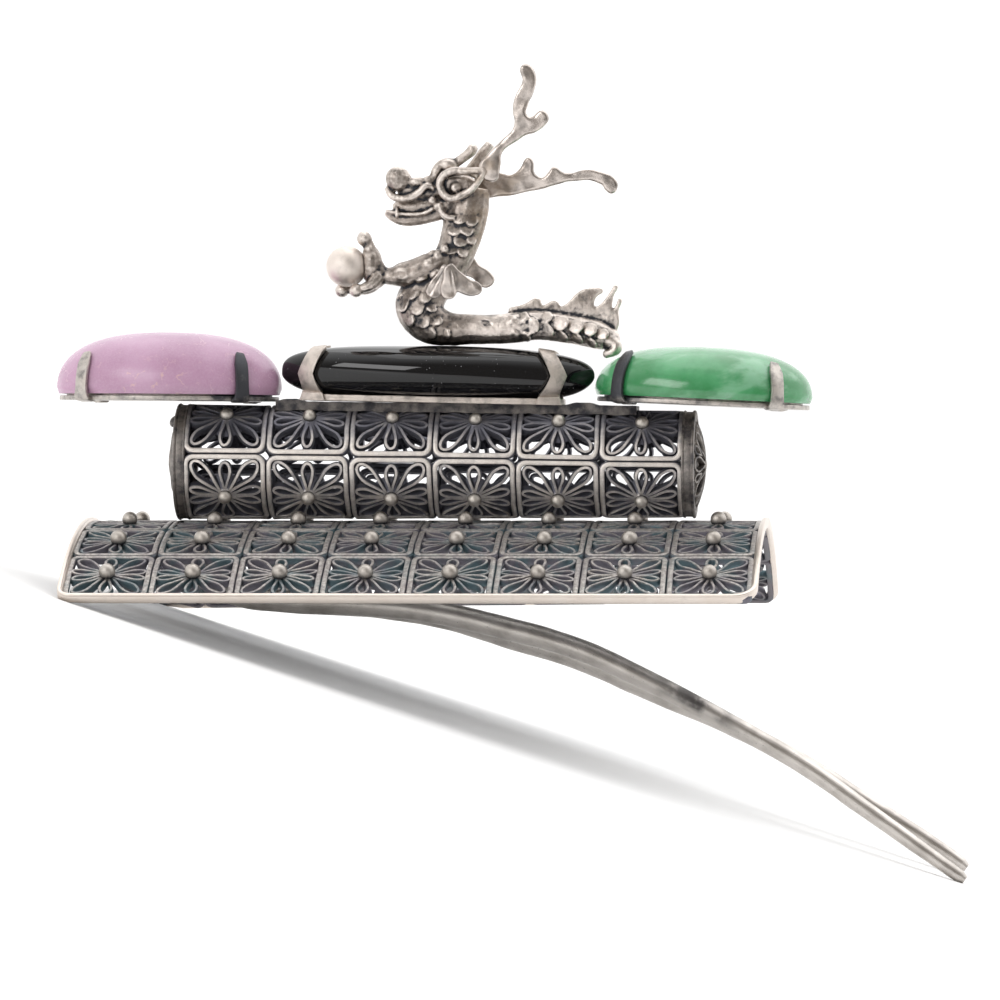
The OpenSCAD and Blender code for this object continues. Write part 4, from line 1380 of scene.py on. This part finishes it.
FINGERS = [
    [(-4.6, -1, 24.8, 0.95), (-5.1, -1, 25.9, 0.8), (-5.5, -1, 27.1, 0.62), (-5.9, -1, 28.0, 0.6)],
    [(-4.8, -1.4, 24.7, 0.8), (-5.4, -1.9, 23.9, 0.62), (-6.4, -2.1, 23.35, 0.5)],
    [(-4.8, -0.6, 24.7, 0.8), (-5.6, -0.1, 23.7, 0.6), (-7.8, 0.1, 23.3, 0.5)],
]
# The ball in the claw
BALL_MIDDLE = Vector((-8, -1, 25.7))
# Lumps of the claw, each a place and its half size
KNUCKLES = [
    ((-6.25, -1, 28.45), 0.78), ((-6.95, -2.0, 23.25), 0.7), ((-8.6, 0, 23.3), 0.7),
    ((-5.1, -0.9, 24.5), 1.05), ((-5.55, -1.0, 25.9), (1.15, 1.2, 1.9)),
    ((-5.7, -1.0, 27.2), (0.65, 0.9, 0.9)),
]
SNOUT = [
    (3.4, 0, 33.6, 1.9), (1.6, 0, 33.6, 1.5), (-0.2, 0, 33.4, 1.1), (-1.8, 0, 33.3, 1.0),
    (-2.9, 0, 33.5, 0.9),
]
JAW = [
    (3.2, 0, 31.8, 1.4), (1.2, 0, 31.15, 0.85), (-0.8, 0, 30.6, 0.8), (-2.4, 0, 30.5, 0.75),
    (-3.5, 0, 30.8, 0.6), (-4.2, 0, 31.1, 0.32),
]
# What fills the mouth, narrower than the lips so that it stays in shadow
MOUTH = [
    (2.4, 0, 32.0, 1.2), (0.6, 0, 31.9, 0.95), (-1.2, 0, 31.7, 0.95), (-2.6, 0, 31.6, 0.9),
    (-3.4, 0, 31.4, 0.55),
]
# Half of the curling lip, in front: from the corner of the mouth round the nostril
LIP = [
    (0.8, -1.3, 33.4, 0.24), (0.1, -1.4, 33.7, 0.36), (-0.75, -1.4, 33.05, 0.4), (-1.75, -1.35, 32.5, 0.4),
    (-2.9, -1.15, 32.5, 0.4), (-3.65, -0.85, 32.9, 0.38), (-4.0, -0.55, 33.6, 0.3),
]
EYELID = [
    (6.0, -2.75, 35.2, 0.22), (5.2, -2.6, 35.15, 0.38), (4.0, -2.3, 35.1, 0.42), (2.5, -2.1, 35.1, 0.42),
    (1.5, -1.85, 34.3, 0.42), (1.6, -1.9, 33.1, 0.42), (2.5, -2.1, 32.4, 0.42), (3.6, -2.25, 32.7, 0.42),
    (4.7, -2.35, 33.4, 0.4), (5.5, -2.6, 34.4, 0.34), (6.0, -2.75, 35.2, 0.22),
]
BROW = [(0.7, -0.9, 34.4, 0.4), (0.9, -0.95, 35.1, 0.5), (1.6, -0.9, 35.9, 0.55), (2.7, -0.8, 36.1, 0.42)]
CREST_HORN = [
    (1.7, -0.75, 35.2, 0.5), (2.5, -0.8, 35.7, 0.5), (3.5, -0.8, 36.4, 0.5), (4.6, -0.7, 37.3, 0.55),
]
STUB_HORN = [(4.2, 0.3, 34.8, 0.85), (5.0, 0.5, 36.2, 0.62), (5.7, 0.6, 37.3, 0.55), (6.3, 0.6, 38.0, 0.5)]
# Half of the lower lip, in front
LOWER_LIP = [
    (-4.1, -0.3, 31.25, 0.16), (-3.2, -0.7, 31.05, 0.2), (-1.8, -0.85, 30.9, 0.22), (-0.4, -0.9, 31.0, 0.22),
    (0.8, -1.15, 31.5, 0.25),
]
CHEEK = [(1.35, -1.6, 31.9, 0.36), (1.6, -1.75, 31.1, 0.36), (2.1, -1.85, 30.6, 0.38), (2.9, -1.9, 30.5, 0.3)]
# The scales that stand out: x, z, half width and the direction of the free edge in degrees
SCALES = [
    (3.4, 30.4, 0.72, -100), (4.6, 30.3, 0.7, -75), (2.8, 29.3, 0.75, -110), (4.1, 29.3, 0.75, -85),
    (3.4, 28.2, 0.75, -110), (4.6, 28.3, 0.6, -80), (2.5, 27.4, 0.7, -115), (3.7, 27.1, 0.65, -100),
    (-2.6, 22.9, 0.65, -60), (-1.3, 22.9, 0.7, -70), (0.0, 22.6, 0.65, -80), (-2.2, 21.7, 0.75, -50),
    (-0.8, 21.4, 0.75, -60), (0.6, 21.5, 0.6, -70), (-1.6, 20.3, 0.7, -40), (-0.2, 20.1, 0.75, -45),
    (1.2, 20.2, 0.6, -40), (0.5, 19.0, 0.7, -20), (2.0, 18.9, 0.6, -10),
    (8.3, 20.4, 0.6, 0), (8.7, 18.8, 0.6, 5), (9.6, 20.6, 0.75, 15), (10.5, 19.7, 1.0, 0),
    (9.8, 18.6, 0.7, -10), (12.0, 20.6, 0.8, 10), (12.1, 19.2, 0.85, -5), (13.5, 20.0, 0.9, 0),
    (13.6, 18.6, 0.75, -10),
    (15.0, 19.7, 0.9, -5), (15.1, 18.4, 0.75, -10), (16.4, 19.4, 0.85, -15), (16.5, 18.0, 0.7, -20),
    (17.6, 18.9, 0.75, -30),
]
# The spines along the back of the tail: outlines of x and z
DORSAL = [
    [(8.1, 21.2), (9.6, 21.9), (11.2, 22.5), (11.5, 21.9), (12.0, 21.2), (10, 20.6)],
    [(11.3, 21.2), (12.2, 22.1), (12.8, 22.3), (13.3, 21.4), (12.4, 20.9)],
    [(13.0, 21.2), (14.0, 22.0), (15.4, 23.3), (16.6, 23.5), (17.6, 23.3), (16.9, 22.6), (16.7, 21.8),
     (17.2, 21), (15, 20.2)],
    [(16.6, 21.2), (17.5, 22.0), (18.2, 23.0), (19.0, 23.8), (18.6, 22.6), (18.5, 21.6), (18.9, 20.2),
     (17.4, 19.6)],
    [(18.2, 20.8), (18.8, 21.6), (19.35, 22.5), (19.15, 21.2), (19.2, 19.8), (18.5, 19.0)],
]


def between_rows(rows, t):
    """A point and radius along a table of rows, by a number from 0 to the last row."""
    k = min(int(t), len(rows) - 2)
    part = t - k
    return [a + (b - a) * part for a, b in zip(rows[k], rows[k + 1])]


def mark_hollows(body, passes):
    """Keeps, as an attribute, how far each point lies under the smoothed skin.

    Each pass has its rounds of smoothing and its weight.
    """
    levels = [0.5] * len(body.data.vertices)
    for rounds, weight in passes:
        smooth = twin(body, Matrix.Identity(4))
        carve(smooth, "SMOOTH", factor=0.5, iterations=rounds)
        for k, (rough, even) in enumerate(zip(body.data.vertices, smooth.data.vertices)):
            levels[k] += weight * (even.co - rough.co).dot(rough.normal)
        discard(smooth)
    keep(body, "hollow", [max(0.0, min(1.0, level)) for level in levels])


class ORNAMENT_OT_dragon(bpy.types.Operator):
    """Builds the dragon out of bars and lumps, fuses them like a casting and marks its hollows"""

    bl_idname = "ornament.dragon"
    bl_label = "Dragon"

    def execute(self, context):
        settings = context.scene.ornament.dragon
        grain = mm(settings.grain) * 1
        parts = [tube(NECK, 14, depth=0.9), tube(ARM, 12), tube(SNOUT, 12), tube(JAW, 10)]
        parts.append(tube(MOUTH, 10, depth=0.75))
        parts += [tube(finger, 10) for finger in FINGERS]
        parts += [lump(place, size) for place, size in KNUCKLES]
        parts += [tube(CREST_HORN, 10), tube(STUB_HORN, 10)]
        parts += [lump((4.6, -0.7, 37.4), 0.55), lump((18.7, 0, 17.6), 0.85)]
        parts += self.scales(settings.scale)
        parts += self.arm_relief()
        for side in (-1, 1):
            parts += self.half_head(side)
        parts += [flat_cutting(spine, 0.2, 0.7, 0.15) for spine in DORSAL]
        parts += self.tail_curl()
        body = fuse([settle(part) for part in parts], "dragon")
        carve(body, "REMESH", mode="VOXEL", voxel_size=grain)
        carve(body, "SMOOTH", factor=0.5, iterations=2)
        reshape(body, uneven((0.05, 0.9), (0.02, 3.3)))
        self.cup(body, mm(settings.pearl) / 2)
        for place in ((5.9, -1.5, 20.1), (6.3, 1.5, 20.1)):
            self.pit(body, Vector(place), 0.32, 0.16)
        self.stand_on_stone(body)
        # The short smoothing finds the small hollows of the casting, where oxide lies; the long smoothing
        # finds the wide recesses, such as the mouth and the space between arm and chest, which the material
        # darkens as painted shade
        mark_hollows(body, ((8, 7.0), (60, 1.6)))
        look = cast_silver("Cast silver", 1.0, (0.75, 0.675, 0.62), (0.37, 0.32, 0.285))
        finish_piece(body, "dragon_cast", look, "cast_silver", ["dragon"], 80)
        return {"FINISHED"}

    def scales(self, lift):
        """Scales on the neck, the chest and the tail, each raised at its free edge, on both sides."""
        track = [between_rows(NECK, k / 8) for k in range(8 * len(NECK) - 8)]
        made = []
        for x, z, size, way in SCALES:
            cx, _, cz, radius = min(track, key=lambda row: math.hypot(row[0] - x, row[2] - z) / row[3])
            off = Vector((x - cx, 0, z - cz))
            depth = 0.9 * math.sqrt(max(radius ** 2 - off.length ** 2, 0.1))
            free = Vector((math.cos(math.radians(way)), 0, math.sin(math.radians(way))))
            for side in (-1, 1):
                out = Vector((off.x, side * depth, off.z)).normalized()
                across = out.cross(free).normalized()
                ahead = across.cross(out).normalized()
                ahead = (ahead * math.cos(lift) + out * math.sin(lift)).normalized()
                turn = Matrix((ahead, across, ahead.cross(across))).transposed().to_4x4()
                ball = lump((0, 0, 0), (1, 1, 1))
                ball.matrix_world = (
                    Matrix.Translation(Vector((x, side * depth, z)) - out * 0.02) @ turn
                    @ Matrix.Diagonal((size, size * 0.95, 0.15, 1)))
                made.append(ball)
        return made

    def arm_relief(self):
        """Lumps, crescents and curls on the arm and shoulder."""
        lumps = [
            ((-2.4, -2.0, 24.9), (0.75, 0.35, 0.38), 0.2), ((-1.1, -2.15, 25.2), (0.5, 0.35, 0.42), -0.5),
            ((0.2, -2.2, 25.9), (0.62, 0.4, 0.5), -0.6), ((1.2, -1.9, 26.7), (0.5, 0.5, 0.6), 0),
            ((-0.4, -2.0, 24.4), (0.7, 0.4, 0.3), -0.3), ((-3.3, -1.7, 24.9), (0.5, 0.4, 0.3), 0.3),
            ((1.9, -1.9, 27.4), (0.45, 0.5, 0.5), 0), ((0.9, -2.1, 24.9), (0.6, 0.4, 0.35), -0.8),
            ((-1.7, -1.9, 24.2), (0.55, 0.35, 0.28), 0.1), ((0.6, -1.6, 27.0), (0.5, 0.5, 0.3), -0.5),
        ]
        made = [lump(*row) for row in lumps]
        curl = [(-3.1, -2.05, 25.1, 0.16), (-2.5, -2.3, 25.35, 0.18), (-1.8, -2.35, 25.1, 0.18),
                (-1.9, -2.35, 24.6, 0.16), (-2.6, -2.25, 24.5, 0.14)]
        return made + [tube(curl, 8)]

    def half_head(self, side):
        """What the head has on both sides; side is -1 in front."""
        def mirrored(rows):
            return [(x, -side * y, z, r) for x, y, z, r in rows]

        made = [tube(mirrored(rows), 8) for rows in (LIP, LOWER_LIP, EYELID, BROW, CHEEK)]
        lumps = [
            ((-2.9, 0.75, 34.45), (1.25, 0.8, 1.25)), ((-0.9, 0.8, 34.1), (1.2, 0.5, 0.5)),
            ((0.3, 0.9, 34.2), (0.7, 0.5, 0.6)), ((3.4, 1.4, 33.8), (1.7, 0.5, 1.0)),
            ((3.0, 1.75, 33.5), (0.6, 0.45, 0.55)), ((0.6, 1.4, 32.25), (0.45, 0.45, 0.45)),
            ((1.15, 1.55, 31.6), (0.42, 0.42, 0.42)), ((2.2, 1.2, 35.8), (0.9, 0.5, 0.6)),
        ]
        made += [lump((x, side * y, z), size) for (x, y, z), size in lumps]
        fang = [(-3.0, 0.75, 31.6, 0.16), (-3.0, 0.85, 31.1, 0.15), (-3.05, 0.85, 30.5, 0.12)]
        return made + [tube([(x, side * y, z, r) for x, y, z, r in fang], 8)]

    def tail_curl(self):
        """The tuft that hangs from the end of the tail."""
        curl = [
            (18.3, -0.3, 18.3, 0.8), (18.9, -0.5, 17.7, 0.6), (18.5, -0.6, 17.1, 0.5),
            (17.9, -0.5, 17.0, 0.38),
        ]
        return [tube(curl, 10), lump((18.0, -0.5, 16.9), 0.42)]

    def cup(self, body, radius):
        """Hollows the palm round the ball, with a little room."""
        room = radius + 0.08

        def clear(co):
            away = co - BALL_MIDDLE
            return BALL_MIDDLE + away * max(1, room / max(away.length, 0.1))

        reshape(body, clear)

    def pit(self, body, place, size, depth):
        """A small hollow, wider than it is tall."""
        def press(co):
            off = co - place
            away = Vector((off.x * 0.65, off.y, off.z + off.x * 0.3)).length / size
            if away > 1.6:
                return co
            inward = Vector((0, -math.copysign(1, place.y), 0))
            return co + inward * depth * max(0.0, 1 - away ** 3 / 4)

        reshape(body, press)

    def stand_on_stone(self, body):
        """Cuts the underside flat where the dragon stands on the stone."""
        plane = AT_BLACK @ Matrix.Translation((0, 0, BLACK_BASE + BLACK_DOWN + BLACK_UP + 0.03))
        with Editing(body) as edit:
            # The tail hangs lower, behind the stone's end
            edit.choose(lambda v: v.co.x < 9)
            bpy.ops.mesh.bisect(
                plane_co=plane.translation, plane_no=plane.col[2].to_3d(), use_fill=True, clear_inner=True)


# Outlines of x and z
ANTLER_UPPER = [
    (9.9, 45.75), (9.5, 45.35), (9.7, 44.2), (8.9, 42.4), (8.7, 41), (8.9, 39.6), (7.5, 38.1), (6.2, 36.8),
    (5.4, 35.6), (5.6, 34.4), (7.2, 34.2), (7.5, 35.6), (7.7, 37), (8.8, 37.9), (10.1, 38.7), (11.2, 39),
    (12, 39.7), (12.3, 40.4), (11.7, 41.2), (10.6, 40.5), (10.1, 40.9), (10.3, 41.7), (10.8, 43), (11, 44.8),
]
ANTLER_BACK = [
    (4.7, 32.8), (6.8, 32.7), (10.4, 33.3), (15, 34.3), (17.2, 34), (17.7, 33.3), (18.4, 33), (18.9, 33.5),
    (18.8, 34.4), (18, 35), (15.5, 35.4), (13.8, 35.1), (12.4, 35.7), (11.9, 35.2), (11.4, 34.7),
    (10.6, 35.1), (10.4, 36.4), (10, 36.7), (9.6, 36.5), (9.1, 35.5), (8.3, 34.9), (7.6, 35), (6.7, 35.1),
    (4.7, 34.8),
]
ELBOW_FRONT = [
    (2.2, 25.9), (1.2, 24.9), (0.3, 23.7), (0.1, 23.0), (0.35, 22.6), (1.0, 22.4), (1.5, 22.8), (2.0, 24.2),
]
ELBOW_MIDDLE = [
    (2.4, 25.8), (1.8, 24.3), (1.6, 23.0), (1.9, 22.5), (2.6, 22.35), (3.1, 22.8), (3.1, 24.0), (2.9, 25.2),
]
ELBOW_REAR = [
    (2.5, 25.9), (2.8, 24.4), (3.2, 23.2), (3.9, 22.8), (4.9, 22.7), (5.7, 23.1), (5.4, 24.0), (4.6, 24.3),
    (3.6, 25.0),
]
BACK_FIN = [
    (3.9, 26.9), (5.0, 26.0), (6.3, 24.9), (6.5, 24.2), (6.0, 23.7), (5.3, 23.7), (4.4, 24.5), (2.6, 25.6),
]
# Each node with its outlines and their depths, its thickness and the rounding of its edges
SHEETS = (
    ("antler_upper", [(ANTLER_UPPER, -2.2)], 0.9, 0.3),
    ("antler_back", [(ANTLER_BACK, 2.3)], 0.8, 0.25),
    ("elbow_fin", [(ELBOW_FRONT, -2.7), (ELBOW_MIDDLE, -2.95), (ELBOW_REAR, -2.8)], 0.42, 0.12),
    ("back_fin", [(BACK_FIN, 2.5)], 0.6, 0.18),
)


class ORNAMENT_OT_antlers_and_fins(bpy.types.Operator):
    """Cuts the antlers behind the head and the fins of the shoulder out of sheet"""

    bl_idname = "ornament.antlers_and_fins"
    bl_label = "Antlers and Fins"

    def execute(self, context):
        look = cast_silver("Antler silver", 0.2, (0.63, 0.565, 0.52), (0.63, 0.565, 0.52))
        for node, outlines, thickness, edge in SHEETS:
            sheet = fuse([flat_cutting(outline, depth, thickness, edge) for outline, depth in outlines], node)
            carve(sheet, "REMESH", mode="VOXEL", voxel_size=0.1)
            carve(sheet, "SMOOTH", factor=0.5, iterations=3)
            reshape(sheet, uneven((0.1, 0.8)))
            if node == "elbow_fin":
                reshape(sheet, self.grooved)
            mark_hollows(sheet, ((14, 2.5),))
            finish_piece(sheet, node + "_cast", look, "cast_silver", [node], 80)
        return {"FINISHED"}

    def grooved(self, co):
        """Rays pressed into the elbow fin, from its apex."""
        way = math.atan2(co.z - 26.2, co.x - 2.4)
        return co + Vector((0, 0.07 * max(0, math.cos(way * 9)) ** 10, 0))


class ORNAMENT_OT_pearl(bpy.types.Operator):
    """Gives the ball in the claw its satin finish"""

    bl_idname = "ornament.pearl"
    bl_label = "Ball"

    def execute(self, context):
        look = plain_silver("Ball silver", (0.84, 0.775, 0.725), (0.42, 0.385, 0.355), 0.9, 0.6, (0.5, 0.44))
        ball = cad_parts["pearl"]
        ball.data.materials.clear()
        ball.data.materials.append(look)
        return {"FINISHED"}


# Stage

# Where the camera stands, upright: its distance, its turn to the right and its height
VIEW_DISTANCE = 735.0
VIEW_YAW = math.radians(4.74)
VIEW_HEIGHT = math.radians(0.2)
# What the middle of the picture looks at, upright
VIEW_TARGET = Vector((7.23, 0.6, 2.35))
SENSOR = 36
LENS = SENSOR * 7.35


class ORNAMENT_OT_stage(bpy.types.Operator):
    """Sets the floor, the softboxes and the camera"""

    bl_idname = "ornament.stage"
    bl_label = "Stage"

    def execute(self, context):
        stage = context.scene.ornament.stage
        self.floor(stage.floor)
        self.room(context, stage.sky)
        self.softbox("Overhead", (0.0, 0.35, 1.3), (0.0, 0.02, 0.03), (1.8, 1.6), stage.overhead)
        self.softbox("Low front", (-0.40, -0.52, 0.20), (0.0, 0.0, 0.03), (0.42, 0.2), stage.front)
        self.camera(context)
        return {"FINISHED"}

    def floor(self, colour):
        """A wide pale sheet, a little uneven in tone."""
        bpy.ops.mesh.primitive_grid_add(x_subdivisions=8, y_subdivisions=8, size=24)
        sheet = bpy.context.object
        sheet.name = "floor"
        look = Look("Pale floor")
        tone = look.mix(look.noise(0.002, 2.0), tuple(colour), tuple(c * 0.98 for c in colour))
        sheet.data.materials.append(look.surface(Base_Color=tone, Roughness=0.8))

    def room(self, context, strength):
        """A tent that is white above, behind and at the sides, and dark round the camera."""
        world = bpy.data.worlds.new("Room")
        context.scene.world = world
        world.use_nodes = True
        look = Nodes(world.node_tree)
        aside, ahead, above = look.split(look.add("ShaderNodeTexCoord", output="Generated"))
        share = (above * 0.8 + ahead * 0.85 + aside * aside * 0.35 + 0.18).rise(-0.05, 1.0)
        tent = look.mix(share, (0.20, 0.185, 0.17), (1, 1, 1))
        # The backdrop is white from every side
        seen = look.add("ShaderNodeLightPath", output="Is Camera Ray")
        glow = look.add(
            "ShaderNodeBackground", {},
            {"Color": look.mix(seen, tent, (1, 1, 1)), "Strength": strength})
        look.add("ShaderNodeOutputWorld", {}, {"Surface": glow}, output=None)
        context.scene.view_settings.view_transform = "Standard"

    def softbox(self, name, place, target, size, power):
        bpy.ops.object.light_add(type="AREA", location=place)
        lamp = bpy.context.object
        lamp.name = name
        lamp.rotation_euler = (Vector(target) - Vector(place)).to_track_quat("-Z", "Y").to_euler()
        lamp.data.shape = "RECTANGLE"
        lamp.data.size, lamp.data.size_y = size
        lamp.data.energy = power

    def camera(self, context):
        """Looks at the ornament as the photograph does, and leans with it."""
        back = Vector((
            math.sin(VIEW_YAW) * math.cos(VIEW_HEIGHT), -math.cos(VIEW_YAW) * math.cos(VIEW_HEIGHT),
            math.sin(VIEW_HEIGHT)))
        right = Vector((math.cos(VIEW_YAW), math.sin(VIEW_YAW), 0))
        turn = Matrix((right, back.cross(right), back)).transposed().to_4x4()
        bpy.ops.object.camera_add()
        camera = bpy.context.object
        camera.name = "Camera"
        place = Matrix.Translation((VIEW_TARGET + back * VIEW_DISTANCE) / 1000)
        camera.matrix_world = LIE @ place @ turn
        camera.data.lens, camera.data.sensor_width = LENS, SENSOR
        camera.data.clip_start, camera.data.clip_end = 0.01, 50
        context.scene.camera = camera


# Add-on

STEPS = (
    ORNAMENT_OT_plate_filigree, ORNAMENT_OT_plate_rim, ORNAMENT_OT_drum_filigree, ORNAMENT_OT_drum_caps,
    ORNAMENT_OT_deck, ORNAMENT_OT_seats, ORNAMENT_OT_stones, ORNAMENT_OT_hair_fork, ORNAMENT_OT_dragon,
    ORNAMENT_OT_antlers_and_fins, ORNAMENT_OT_pearl, ORNAMENT_OT_stage,
)


class ORNAMENT_PT_panel(bpy.types.Panel):
    """Lists the ornament's pieces, each with its button"""

    bl_label = "Hair Ornament"
    bl_idname = "ORNAMENT_PT_panel"
    bl_space_type = "VIEW_3D"
    bl_region_type = "UI"
    bl_category = "Ornament"

    def draw(self, context):
        for step in STEPS:
            self.layout.operator(step.bl_idname)


CLASSES = (
    PlateSettings, DrumSettings, StoneSettings, DragonSettings, StageSettings, OrnamentSettings, *STEPS,
    ORNAMENT_PT_panel,
)


def register():
    for item in CLASSES:
        bpy.utils.register_class(item)
    bpy.types.Scene.ornament = bpy.props.PointerProperty(type=OrnamentSettings)


def unregister():
    del bpy.types.Scene.ornament
    for item in reversed(CLASSES):
        bpy.utils.unregister_class(item)


def main():
    register()
    # Without a seed the noise that makes the shapes uneven would differ from run to run
    noise.seed_set(7)
    for step in STEPS:
        group, name = step.bl_idname.split(".")
        getattr(getattr(bpy.ops, group), name)()


if __name__ == "__main__":
    main()
